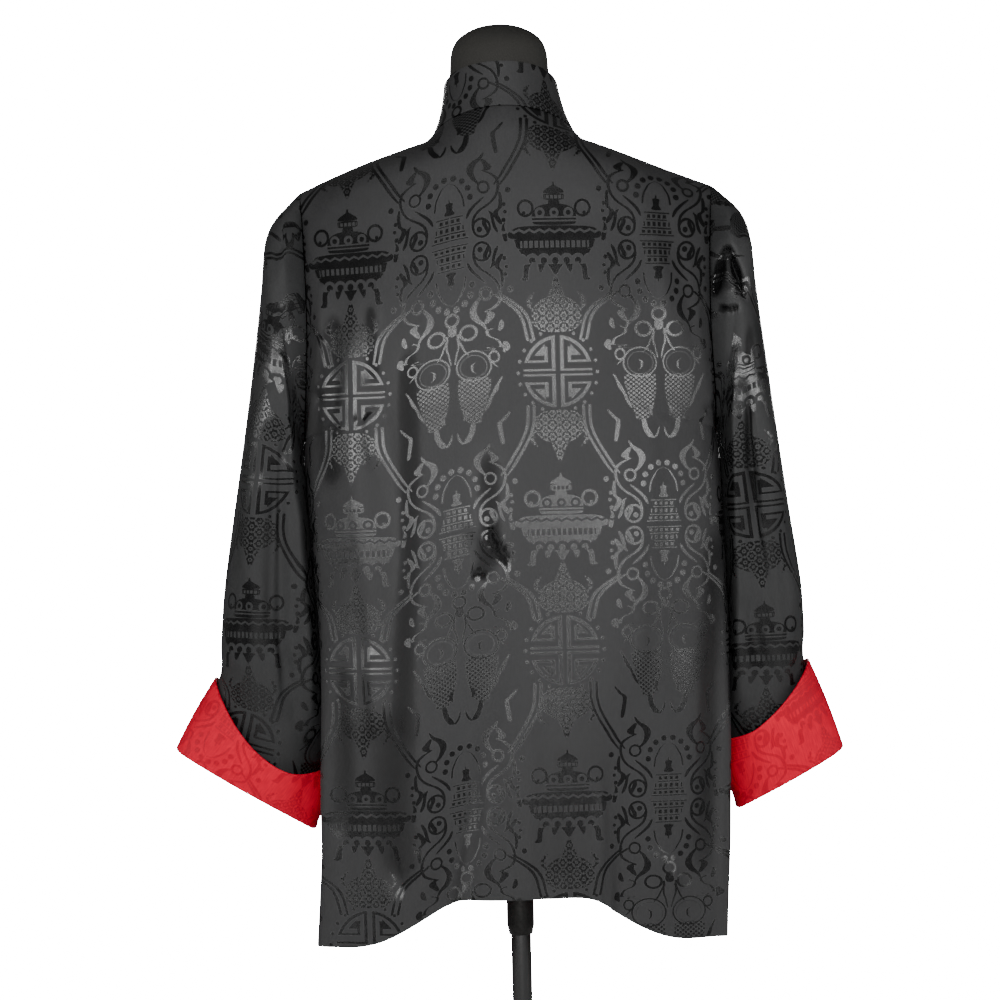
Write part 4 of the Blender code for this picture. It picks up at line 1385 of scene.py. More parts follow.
@dataclass
class BodyPanel(ClothPart):
    """The back or a front of the jacket's body."""

    seam_dip: float = 0.0006
    """How deep the cloth is drawn in at its side, shoulder and armhole seams."""
    seam_width: float = 0.004
    """How far from a seam it is drawn in."""
    corner: float = 0.008
    """How much fuller the cloth hangs where it turns from the back or front to the side."""
    shrink: float = 0.086
    """The share of the height that the pattern skips above the chest, so that it is longer there."""
    skew: float = 0.016
    """How much lower the pattern lies on the back's left half and the front's right half."""

    def cloth_map(self, grid: np.ndarray) -> np.ndarray:
        """Columns of the pattern stay upright, and its rows follow the cloth over the shoulder.

        Args:
            grid: The piece's points, as rows by columns.

        Returns:
            Places across and along the cloth.
        """
        x, z = grid[..., 0], grid[..., 2]
        low = 1 - smooth_step(z, start=1.02, over=0.13)
        across = lengths(grid, 1, (1, low, 0))
        middle = [np.interp(0, *sorted_pair(row_x, row)) for row_x, row in zip(x, across)]
        across = across - np.array(middle)[:, None]
        high = smooth_step(z, start=1.08, over=0.06)
        upright = 1 - self.shrink * smooth_step(z, start=0.96, over=0.03)
        along = z[:1] + lengths(grid, 0, (high, high, upright))
        side = x if self.node == "jacket_back" else -x
        along = along + self.skew * smooth_step(side, start=0.02, over=0.10)
        return np.stack([across, along], axis=2)

    def crease(self, grid: np.ndarray) -> np.ndarray:
        """Creases, and the dip at each sewn edge.

        Args:
            grid: The piece's points, as rows by columns.

        Returns:
            The creased points.
        """
        edge = self.from_seam(grid)
        grid = fill_corner(super().crease(grid), False, self.corner * smooth_step(edge, over=0.03))
        dip = self.seam_dip * np.exp(-((edge / self.seam_width) ** 2))
        return grid - grid_normals(grid, False) * dip[..., None]

    def from_seam(self, grid: np.ndarray) -> np.ndarray:
        """From the side, armhole, shoulder and neck seams.

        Args:
            grid: The piece's points, as rows by columns.

        Returns:
            The distance of each point.
        """
        across, along = lengths(grid, 1), lengths(grid, 0)
        edges = [along[-1:] - along]
        if self.node != "jacket_front_left":
            edges.append(across)
        if self.node != "jacket_front_right":
            edges.append(across[:, -1:] - across)
        return np.min(edges, axis=0)


def sorted_pair(keys: np.ndarray, values: np.ndarray) -> tuple[np.ndarray, np.ndarray]:
    """Both arrays in the order of the keys."""
    order = np.argsort(keys)
    return keys[order], values[order]


def fill_corner(grid: np.ndarray, ring: bool, by: np.ndarray) -> np.ndarray:
    """Lets the cloth stand out where it turns between the back or front and the sides.

    Args:
        grid: A piece's points.
        ring: Whether it is a tube.
        by: How far each point may move.

    Returns:
        The moved points.
    """
    normals = grid_normals(grid, ring)
    slanting, spread = 0.70, 0.24
    turned = np.exp(-(((np.abs(normals[..., 0]) - slanting) / spread) ** 2))
    inner = normals[..., 0] * grid[..., 0].mean() < 0 if ring else True
    low = 1 - smooth_step(grid[..., 2], start=0.98, over=0.12)
    end = smooth_step(np.arange(len(grid)) / len(grid) * 6, start=1 if ring else -1)
    return grid + normals * (by * turned * inner * low * end[:, None])[..., None]


def side_seam(side: int) -> np.ndarray:
    """The body's side seam, as points up to the underarm.

    Args:
        side: The sign of X on that side.

    Returns:
        The points, from the hem up.
    """
    grid = read_grid("jacket_back")
    edge = grid[:, 0] if side * grid[0, 0, 0] > 0 else grid[:, -1]
    return edge[edge[:, 2] < UNDERARM]


def press(grid: np.ndarray, share: np.ndarray, near: float = 0.03) -> np.ndarray:
    """Lets a tube that hangs beside the body lie against it, with a small gap left.

    Args:
        grid: The tube's points.
        share: How much of each row's way it goes, from 0 to 1.
        near: How far from its innermost point the tube still moves.

    Returns:
        The moved points.
    """
    side = int(np.sign(grid[..., 0].mean()))
    seam = side_seam(side)
    out = np.abs(grid[..., 0])
    inmost = out.min(axis=1, keepdims=True)
    innermost, rows = 0.003, 6
    close = np.exp((inmost - out) / innermost)
    height = (close * grid[..., 2]).sum(axis=1) / close.sum(axis=1)
    gap = inmost[:, 0] - np.interp(height, seam[:, 2], np.abs(seam[:, 0])) - LEFT_BESIDE
    gap = np.clip(gap, 0, FARTHEST_PRESS)
    wide = np.pad(gap, rows, mode="edge")
    near_rows = np.ones(2 * rows + 1) / (2 * rows + 1)
    gap = np.minimum(gap, np.convolve(wide, near_rows, mode="valid"))
    weight = 1 - smooth_step(out - inmost, over=near)
    moved = grid.copy()
    moved[..., 0] -= side * weight * (gap * share)[:, None]
    return moved


@dataclass
class Sleeve(ClothPart):
    """A sleeve, from the armhole into its cuff."""

    ring: bool = True
    rows: int = 6
    columns: int = 7
    seam_dip: float = 0.0005
    seam_width: float = 0.004
    corner: float = 0.0035
    """How much fuller it hangs where it turns to its inner side."""
    free: float = 0.86
    """The height above which it no longer lies against the body."""
    slant: float = 0.0
    """How far the pattern's rows run down towards the body, at the upper arm, as a slope."""
    burner: tuple[float, float] = (0.219, 0.995)
    """Where on the back of the sleeve an incense burner's brim lies, as X and Z."""

    def crease(self, grid: np.ndarray) -> np.ndarray:
        """Creases, the dip at the armhole seam, and the side that lies against the body.

        Args:
            grid: The piece's points, as rows by columns.

        Returns:
            The creased points.
        """
        edge = self.from_seam(grid)
        grid = fill_corner(super().crease(grid), True, self.corner * smooth_step(edge, over=0.05))
        dip = self.seam_dip * np.exp(-((edge / self.seam_width) ** 2))
        grid = grid - grid_normals(grid, True) * dip[..., None]
        in_cuff = 3 * self.rows
        share = smooth_step(np.arange(len(grid)), start=in_cuff, over=in_cuff)
        share = share * (1 - smooth_step(grid[:, :, 2].min(axis=1), start=self.free, over=0.04))
        return press(grid, share)

    def from_seam(self, grid: np.ndarray) -> np.ndarray:
        """From the armhole."""
        return np.linalg.norm(grid - grid[-1], axis=2)

    def surface(self) -> np.ndarray:
        """The finer grid, with its seam turned to the line under the arm.

        Returns:
            The points, from the wrist up.
        """
        grid = read_grid(self.node)
        under = int(np.argmin(np.abs(grid[:, :-1, 0]).mean(axis=0)))
        grid = np.roll(grid[:, :-1], -under, axis=1)
        return refine(np.concatenate([grid, grid[:, :1]], axis=1), self.rows, self.columns, True)

    def cloth_map(self, grid: np.ndarray) -> np.ndarray:
        """Along the sleeve's middle line, and round it from the line that faces back.

        Args:
            grid: The piece's points, as rows by columns.

        Returns:
            Places across and along the cloth.
        """
        middle = grid.mean(axis=1, keepdims=True)
        down = np.concatenate([[0], np.cumsum(np.linalg.norm(np.diff(middle[:, 0], axis=0), axis=1))])
        down = down - down[-1]
        ahead = np.gradient(middle[:, 0], axis=0)
        ahead /= np.linalg.norm(ahead, axis=1, keepdims=True)
        offset = np.einsum("rci,ri->rc", grid - middle, ahead)
        flat = grid - offset[..., None] * ahead[:, None]
        across = lengths(flat, 1)
        back = int(np.argmax(grid[..., 1].mean(axis=0)))
        across = across - across[:, back : back + 1]
        upper = smooth_step(grid[..., 2], start=0.86, over=0.12)
        outward = np.abs(grid[..., 0]) - np.abs(middle[..., 0])
        along = down[:, None] + offset - self.slant * outward * upper
        away = np.hypot(grid[..., 0] - self.burner[0], grid[..., 2] - self.burner[1])
        spot = np.unravel_index(np.argmin(away + (grid[..., 1] < middle[..., 1])), away.shape)
        return np.stack([across - across[spot], along - along[spot]], axis=2) + BRIM


@dataclass
class Cuff(ClothPart):
    """A turned-back cuff: a red band with a rolled fold, whose free edge stands out on top."""

    ring: bool = True
    rows: int = 8
    columns: int = 5
    slot: str = "red_reverse"
    roll: float = 0.00365
    """Radius of the roll at its fold, whose inner edge clears the sleeve in it."""
    lip: float = 0.012
    """How far the cloth goes up inside the sleeve from there."""
    lip_rows: int = 4
    roll_rows: int = 11
    clear: float = 1.3
    """How far above the fold the band's own rows go on, in radii of the roll."""

    def surface(self) -> np.ndarray:
        """The band, with the roll below it and the edge turned up inside.

        Returns:
            The points, from the edge inside the sleeve over the fold to the top.
        """
        band = super().surface()
        fold, out = band[0], grid_normals(band, True)[0]
        up = band[1] - fold
        up /= np.linalg.norm(up, axis=1, keepdims=True)
        turns = np.linspace(math.pi, 0, self.roll_rows)[:, None, None]
        rolled = fold + self.roll * (up + out * (np.cos(turns) - 1) - up * np.sin(turns))
        rises = np.linspace(self.lip, self.lip / self.lip_rows, self.lip_rows)
        turned = rolled[0] + up * rises[:, None, None]
        above = band[np.linalg.norm(band - fold, axis=2).mean(axis=1) > self.clear * self.roll]
        above = press(above, smooth_step(np.linspace(0, 1.6, len(above))), near=0.02)
        return np.concatenate([turned, rolled, above])

    def cloth_map(self, grid: np.ndarray) -> np.ndarray:
        """Round the cuff from its back, and up it from the fold.

        Args:
            grid: The piece's points, as rows by columns.

        Returns:
            Places across and along the cloth.
        """
        across = lengths(grid, 1)
        back = int(np.argmax(grid[-1, :, 1]))
        along = lengths(grid, 0)
        fold = self.lip_rows + self.roll_rows // 2
        return np.stack([across - across[:, back : back + 1], along - along[fold : fold + 1]], axis=2)


@dataclass
class Collar(ClothPart):
    """The stand collar, of two layers of brocade."""

    rows: int = 6
    columns: int = 6

    def cloth_map(self, grid: np.ndarray) -> np.ndarray:
        """Round the collar from its middle at the back, and up it.

        Args:
            grid: The piece's points, as rows by columns.

        Returns:
            Places across and along the cloth.
        """
        across = lengths(grid, 1)
        middle = grid.shape[1] // 2
        return np.stack([across - across[:, middle : middle + 1], lengths(grid, 0)], axis=2)


# Some of these creases also carry painted shade, which paints their troughs and the soft hollows darker.
BACK_CREASES = (
    Crease(
        ((87, 1010), (90, 947), (91, 864), (92, 797), (100, 715), (105, 616)),
        12, -1.2, fade=0.12, tuck=0.39,
    ),
    Crease(((106, 670), (114, 580), (107, 484)), 20, -0.8, fade=0.22, tuck=0.36),
    Crease(((156, 1048), (158, 944), (159, 844)), 15, -1, fade=0.2, tuck=0.36),
    Crease(((122, 1043), (122, 997), (121, 947)), 8, -0.8, fade=0.25, tuck=0.38),
    Crease(((-184, 844), (-177, 717), (-173, 590), (-168, 477)), 13, -0.8, fade=0.15, tuck=0.32),
    Crease(((-40, 644), (-40, 576), (-32, 481)), 24, -0.8, fade=0.2, tuck=0.16),
    Crease(((18, 913), (19, 822), (26, 759)), 13, -0.8, fade=0.25, tuck=0.33),
    Crease(((149, 717), (155, 644), (161, 526)), 11, -0.8, fade=0.2, tuck=0.33),
    Crease(((139, 909), (146, 795), (145, 662), (138, 567)), 16, 1.35),
    Crease(((119, 942), (122, 909), (117, 871)), 5.5, 1.7),
    Crease(((110, 947), (108, 880), (105, 832)), 5.5, -1.53),
    Crease(((-142, 921), (-142, 826), (-141, 712)), 16, 1.05),
    Crease(((-169, 749), (-173, 635), (-172, 502)), 14, -1.05),
    Crease(((40, 844), (27, 817), (13, 790)), 7.5, 2),
    Crease(((22, 827), (11, 803), (-2, 786)), 4, -2.8, tuck=0.9),
    Crease(((40, 779), (31, 782), (20, 781)), 4, -1.5, tuck=0.45),
    Crease(((123, 719), (121, 662), (125, 624)), 8, 1.32),
    Crease(((101, 538), (89, 509), (83, 480)), 8, 1.56),
    Crease(((116, 529), (111, 508), (104, 485)), 7, -2.6),
    Crease(((-116, 532), (-134, 494), (-140, 465)), 9, 1.56),
    Crease(((-130, 546), (-145, 512), (-156, 484)), 8, -1.32),
    Crease(((105, 1132), (111, 1042), (117, 947)), 14, 0.9),
    Crease(((130, 1137), (148, 1024), (155, 919)), 14, -0.96),
    Crease(((-139, 1145), (-149, 1092), (-155, 1035)), 12, -0.96),
    Crease(((-161, 1144), (-169, 1073), (-175, 996)), 11, 0.96),
    Crease(((-26, 734), (-31, 639), (-25, 535)), 22, -0.6),
    Crease(((46, 736), (44, 622), (54, 518)), 20, 0.72),
    Crease(((-90, 656), (-82, 571), (-88, 504)), 12, -0.6),
    Crease(((166, 1043), (160, 967), (166, 881)), 9, 1.32),
    Crease(((-191, 1081), (-192, 1005), (-186, 920)), 8, 1.56),
    Crease(((181, 1081), (175, 1062), (162, 1051)), 5.5, -1.53),
    Crease(((187, 1015), (178, 1005), (161, 1001)), 5.5, -1.36),
    Crease(((186, 956), (176, 952), (166, 940)), 5.5, -1.53),
    Crease(((-199, 1034), (-187, 1023), (-177, 1006)), 5.5, -1.53),
    Crease(((-199, 984), (-189, 979), (-181, 968)), 5.5, -1.36),
    Crease(((-201, 935), (-188, 933), (-177, 924)), 5.5, -1.53),
)

FRONT_CREASES = in_front(
    Crease(((105, 1137), (111, 1042), (106, 927), (113, 814)), 13, 0.9),
    Crease(((130, 1128), (142, 1014), (141, 900)), 13, -0.96),
    Crease(((152, 834), (150, 720), (159, 587)), 15, 1.14),
    Crease(((108, 794), (109, 680), (118, 529)), 13, -1.02),
    Crease(((-131, 1140), (-140, 1045), (-135, 940)), 12, -0.9),
    Crease(((-157, 1130), (-162, 1035), (-156, 921)), 12, 0.9),
    Crease(((-158, 864), (-148, 750), (-150, 617)), 14, -1.02),
    Crease(((-123, 827), (-112, 703), (-116, 561)), 15, 1.02),
    Crease(((64, 717), (72, 623), (69, 518)), 10, 1.44),
    Crease(((-45, 734), (-48, 638), (-37, 525)), 10, -1.44),
    Crease(((51, 1083), (65, 1077), (76, 1060)), 5.5, -1.7),
    Crease(((52, 981), (65, 972), (73, 953)), 5.5, -1.53),
    Crease(((-47, 979), (-60, 969), (-69, 952)), 5.5, -1.7),
    Crease(((-46, 876), (-59, 868), (-72, 855)), 5.5, -1.53),
    Crease(((174, 1043), (164, 1037), (153, 1022)), 5.5, -1.53),
    Crease(((179, 986), (168, 982), (159, 969)), 5.5, -1.36),
    Crease(((-191, 1043), (-181, 1034), (-172, 1019)), 5.5, -1.53),
    Crease(((-192, 986), (-181, 979), (-174, 964)), 5.5, -1.36),
)

LEFT_SLEEVE_CREASES = (
    Crease(((229, 733), (224, 683), (220, 643)), 6, 2.4),
    Crease(((212, 721), (208, 673), (205, 635)), 6, -2.4),
    Crease(((246, 798), (252, 741), (255, 698)), 9, -2.4),
    Crease(((235, 883), (243, 798), (239, 712)), 8, 2.4),
    Crease(((205, 1027), (217, 1002), (223, 964)), 11, 1.4),
    Crease(((195, 947), (205, 925), (208, 883)), 8, -2.4),
    Crease(((220, 930), (225, 902), (233, 864)), 7, -1.8),
    Crease(((195, 1125), (205, 1105), (212, 1075)), 6, -2.6),
    Crease(((201, 1080), (209, 1063), (216, 1044)), 5.5, 0.68),
    Crease(((195, 1044), (204, 1033), (214, 1027)), 5.5, -0.654),
    Crease(((193, 998), (203, 995), (212, 985)), 5.5, -0.535),
    Crease(((192, 882), (200, 816), (198, 740)), 8, 2),
    Crease(((259, 760), (264, 722), (262, 692)), 7, 2.2),
    *in_front(
        Crease(((216, 1115), (212, 1044), (225, 968), (235, 883)), 7, 2),
        Crease(((204, 968), (218, 883), (224, 797)), 9, -3),
        Crease(((237, 798), (231, 722), (237, 665)), 8, 2.6),
        Crease(((196, 1080), (205, 1071), (213, 1054)), 5.5, -1.7),
        Crease(((195, 1023), (205, 1015), (211, 1000)), 5.5, -1.53),
        Crease(((247, 836), (253, 760), (251, 703)), 7, -2.2),
    ),
)

# The first six carry painted shade, which paints the V-shaped fold at the sleeve head and the folds below
# it darker.
RIGHT_SLEEVE_CREASES = (
    Crease(((-208, 1087), (-213.5, 1062), (-221, 1041), (-227, 1024)), 4.5, -6, tuck=1),
    Crease(((-208, 1087), (-203.5, 1070), (-197.5, 1050), (-193.5, 1026)), 4, -3, tuck=0.9),
    Crease(((-207.5, 1075), (-207.5, 1055), (-208, 1030)), 9, 0.8, tuck=0.36),
    Crease(((-193.5, 1022.5), (-206, 1021), (-221, 1022.5)), 3.5, -2, tuck=0.7),
    Crease(((-226, 1030), (-224.5, 940), (-221.5, 850)), 5, -1, tuck=0.38),
    Crease(((-236, 1030), (-240, 985), (-242, 930)), 12, 0.5, tuck=0.25),
    Crease(((-217, 1033), (-224, 1029), (-233, 1030)), 5.5, -0.816),
    Crease(((-226, 1098), (-229, 1069), (-231, 1041)), 6, 2.8),
    Crease(((-205, 988), (-214, 986), (-224, 992)), 5.5, -0.51),
    Crease(((-203, 965), (-215, 959), (-225, 963)), 5.5, 0.51),
    Crease(((-205, 946), (-214, 942), (-224, 946)), 5.5, -0.561),
    Crease(((-203, 925), (-213, 919), (-226, 922)), 5.5, 0.51),
    Crease(((-225, 910), (-226, 843), (-219, 777)), 8, -2.6),
    Crease(((-242, 938), (-245, 862), (-240, 786)), 9, 2.8),
    Crease(((-218, 758), (-223, 720), (-230, 683)), 6, -3),
    Crease(((-249, 842), (-254, 757), (-262, 700)), 8, -2.4),
    Crease(((-233, 786), (-236, 729), (-245, 681)), 6, 2.6),
    Crease(((-263, 785), (-270, 728), (-273, 694)), 7, 2.4),
    Crease(((-237, 1122), (-241, 1090), (-239, 1042)), 7, -2.2),
    *in_front(
        Crease(((-220, 1100), (-227, 1014), (-232, 919)), 8, -2.6),
        Crease(((-243, 1004), (-248, 899), (-244, 805)), 9, 2.8),
        Crease(((-221, 872), (-225, 786), (-230, 710)), 7, 2.2),
        Crease(((-210, 1034), (-221, 1028), (-228, 1014)), 5.5, -1.7),
        Crease(((-209, 977), (-220, 974), (-229, 965)), 5.5, -1.53),
        Crease(((-255, 804), (-260, 747), (-266, 698)), 7, -2.4),
    ),
)


@dataclass
class Frog:
    """A cord fastening: a ball knot and its cord on the left front, a loop on the right front."""

    number: int
    fronts: BVHTree
    """Both fronts' outsides, which the cords lie on."""
    finish: bpy.types.Material
    reach: float = 0.058
    """From the front edge to the sewn end."""
    cord_radius: float = 0.0015
    lane: float = 0.00175
    """Half of the distance between the two runs of a cord."""
    rise: float = 0.0004
    """How far the cords lie off the cloth."""
    loop_radius: float = 0.0082
    loop_start: float = 0.019
    """From the front edge to where the loop's two runs meet its eye."""
    eye_start: float = 200.0
    """Where round the eye its cord begins, in degrees."""
    eye_turn: float = 320.0
    """How far round it goes, in degrees."""
    knot_radius: float = 0.0058
    knot_gap: float = 0.0012
    """From the knot to where its cord's two runs begin."""
    nose: float = 0.001
    """How far the cord comes nearer to the knot between them."""

    def build(self) -> None:
        """Makes the knot, its cord and the loop."""
        low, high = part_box(f"frog_{self.number}_knot")
        self.middle = (low + high) / 2
        upper, lower = (self.on_cloth(0.004, dz) for dz in (0.008, -0.008))
        self.up = (upper - lower).normalized()
        self.over = Vector((0, -self.up.z, self.up.y))
        left = self.lanes(+1, self.knot_radius + self.knot_gap)
        nose = (left[0] + left[-1]) / 2 - Vector((self.nose, 0, 0))
        self.cord("knot_cord", [nose, *left])
        turns = np.radians(np.linspace(self.eye_start, self.eye_start + self.eye_turn, 33))
        eye = [
            self.middle + self.loop_radius * (math.cos(t) * Vector((1, 0, 0)) + math.sin(t) * self.up)
            for t in turns
        ]
        self.cord("loop", [*self.lanes(-1, self.loop_start), *eye])
        self.knot()
        log.info("frog %d is dressed", self.number)

    def on_cloth(self, x: float, dz: float) -> Vector:
        """The place on the fronts beside the knot, seen from well in front of them."""
        start = Vector((self.middle.x + x, -0.3, self.middle.z + dz))
        return self.fronts.ray_cast(start, Vector((0, 1, 0)))[0]

    def lanes(self, side: int, near: float) -> list[Vector]:
        """The two runs of a cord, out from the front edge, round its sewn end and back.

        Args:
            side: +1 for the left front, -1 for the right one.
            near: How far from the front edge it starts.

        Returns:
            The cord's middle line.
        """
        run = np.linspace(near, self.reach - self.lane, 16)
        bend = np.linspace(math.pi / 2, -math.pi / 2, 9)[1:-1]
        end = [(self.reach - self.lane * (1 - math.cos(t)), self.lane * math.sin(t)) for t in bend]
        spots = [(x, self.lane) for x in run] + end + [(x, -self.lane) for x in run[::-1]]
        lift = self.over * (self.rise + self.cord_radius)
        return [self.on_cloth(side * x, dz) + lift for x, dz in spots]

    def cord(self, name: str, path: list[Vector]) -> None:
        """Makes a closed round cord along a path, with a cloth map that its twist follows.

        Args:
            name: The piece's name.
            path: Its middle line, whose end leads back to its start.
        """
        path = [np.array(point) for point in path]
        line = np.array([*path, path[0]])
        around = np.linspace(0, 2 * math.pi, 17)
        ahead = np.concatenate([line[-2:-1], line, line[1:2]])
        ahead = ahead[2:] - ahead[:-2]
        ahead /= np.linalg.norm(ahead, axis=1, keepdims=True)
        beside = np.cross(ahead, np.array(self.over))
        beside /= np.linalg.norm(beside, axis=1, keepdims=True)
        above = np.cross(beside, ahead)
        turn = around[None, :, None]
        circle = np.cos(turn) * beside[:, None] + np.sin(turn) * above[:, None]
        grid = line[:, None] + circle * self.cord_radius
        run = np.concatenate([[0], np.cumsum(np.linalg.norm(np.diff(line, axis=0), axis=1))])
        cloth = np.stack(
            [
                np.broadcast_to(around * self.cord_radius, grid.shape[:2]),
                np.broadcast_to(run[:, None], grid.shape[:2]),
            ],
            axis=2,
        )
        name_of_mesh = f"{name}_{self.number}"
        made = welded(cloth_mesh(name_of_mesh, grid, cloth, True))
        bmesh.ops.recalc_face_normals(made, faces=made.faces)
        self.place(name, finished(made, name_of_mesh))

    def knot(self) -> None:
        """Makes the ball, with its poles towards and away from the cloth."""
        made = bmesh.new()
        layer = made.loops.layers.uv.new(CLOTH_MAP)
        bmesh.ops.create_uvsphere(
            made, u_segments=32, v_segments=20, radius=self.knot_radius, calc_uvs=True
        )
        turn = self.over.to_track_quat("Z", "X").to_matrix().to_4x4()
        for face in made.faces:
            face.smooth = True
            for loop in face.loops:
                spot = loop.vert.co
                turned = math.atan2(spot.y, spot.x)
                loop[layer].uv = (turned * self.knot_radius, spot.z)
        bmesh.ops.transform(made, matrix=Matrix.Translation(self.middle) @ turn, verts=made.verts)
        self.place("knot", finished(made, f"knot_{self.number}"))

    def place(self, name: str, mesh: bpy.types.Mesh) -> None:
        """Puts a piece of the fastening in its solid's place.

        Args:
            name: The piece's name.
            mesh: Its shape.
        """
        mesh.materials.append(self.finish)
        piece = put(f"frog_{self.number}_{name}_silk", mesh)
        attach(piece, "root")
        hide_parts(f"frog_{self.number}_{name}")


@dataclass
class DressForm:
    """The cloth-covered trunk that holds the jacket up."""

    finish: bpy.types.Material
    node: str = "dress_form"
    steps: int = 4
    """Into how many each step between the solid's points goes."""
    turn: float = 0.003
    """How far the cover's top and bottom edges are rounded."""
    fewest: int = 8
    """A level with fewer points than this isn't a section."""

    def sections(self) -> np.ndarray:
        """Reads the level rings of points that the solid is made from.

        Returns:
            The points, as rings from the bottom up by places round the form.
        """
        mesh = welded(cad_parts[self.node].data)
        spots = np.array([vert.co for vert in mesh.verts])
        mesh.free()
        rings = []
        for level in np.unique(spots[:, 2].round(4)):
            ring = spots[np.abs(spots[:, 2] - level) < 1e-4]
            if len(ring) >= self.fewest:
                middle = ring.mean(axis=0)
                order = np.argsort(np.arctan2(ring[:, 1] - middle[1], ring[:, 0] - middle[0]))
                rings.append(ring[order])
        return np.array(rings)

    def build(self) -> bpy.types.Object:
        """Makes the cover from the solid's own sections, closed at its bottom and neck.

        Returns:
            The cover.
        """
        grid = self.sections()
        grid = refine(np.concatenate([grid, grid[:, :1]], axis=1), self.steps, self.steps, True)
        cloth = np.stack([lengths(grid, 1), lengths(grid, 0)], axis=2)
        sheet = cloth_mesh(self.node, grid, cloth, True)
        made = bmesh.new()
        made.from_mesh(sheet)
        rims = [edge for edge in made.edges if edge.is_boundary]
        bmesh.ops.holes_fill(made, edges=rims, sides=0)
        caps = [face for face in made.faces if len(face.verts) > 4]
        for cap in caps:
            cap.smooth = False
        edges = [edge for cap in caps for edge in cap.edges]
        bmesh.ops.bevel(
            made, geom=edges, offset=self.turn, segments=3, profile=0.5, affect="EDGES", material=-1
        )
        made.to_mesh(sheet)
        made.free()
        sheet.materials.append(self.finish)
        piece = put("dress_form_cover", sheet)
        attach(piece, "root")
        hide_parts(self.node)
        log.info("the dress form is dressed")
        return piece


@dataclass
class Turned:
    """A turned piece of the stand, from its profile as radius and height."""

    node: str
    profile: tuple[tuple[float, float], ...]
    finish: bpy.types.Material
    slot: str
    steps: int = 96
    edge: float = 0.0012
    """How far its edges are rounded."""

    def build(self) -> bpy.types.Object:
        """Spins the profile and softens its edges.

        Returns:
            The piece.
        """
        low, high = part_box(self.node)
        middle = (low + high) / 2
        made = bmesh.new()
        verts = [made.verts.new((middle.x + r, middle.y, z)) for r, z in self.profile]
        for a, b in zip(verts[:-1], verts[1:]):
            made.edges.new((a, b))
        bmesh.ops.spin(
            made,
            geom=[*made.verts, *made.edges],
            cent=(middle.x, middle.y, 0),
            axis=(0, 0, 1),
            dvec=(0, 0, 0),
            angle=2 * math.pi,
            steps=self.steps,
            use_merge=True,
            use_duplicate=False,
        )
        bmesh.ops.remove_doubles(made, verts=made.verts, dist=WELD)
        bmesh.ops.recalc_face_normals(made, faces=made.faces)
        for face in made.faces:
            face.smooth = True
        mesh = finished(made, self.node)
        mesh.materials.append(self.finish)
        piece = put(f"{self.node}_turned", mesh)
        soft = piece.modifiers.new("soft edges", "BEVEL")
        soft.width = self.edge
        soft.segments = 3
        soft.limit_method = "ANGLE"
        soft.angle_limit = math.radians(20)
        soft.harden_normals = False
        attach(piece, "root")
        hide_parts(self.node)
        log.info("%s is dressed", self.node)
        return piece


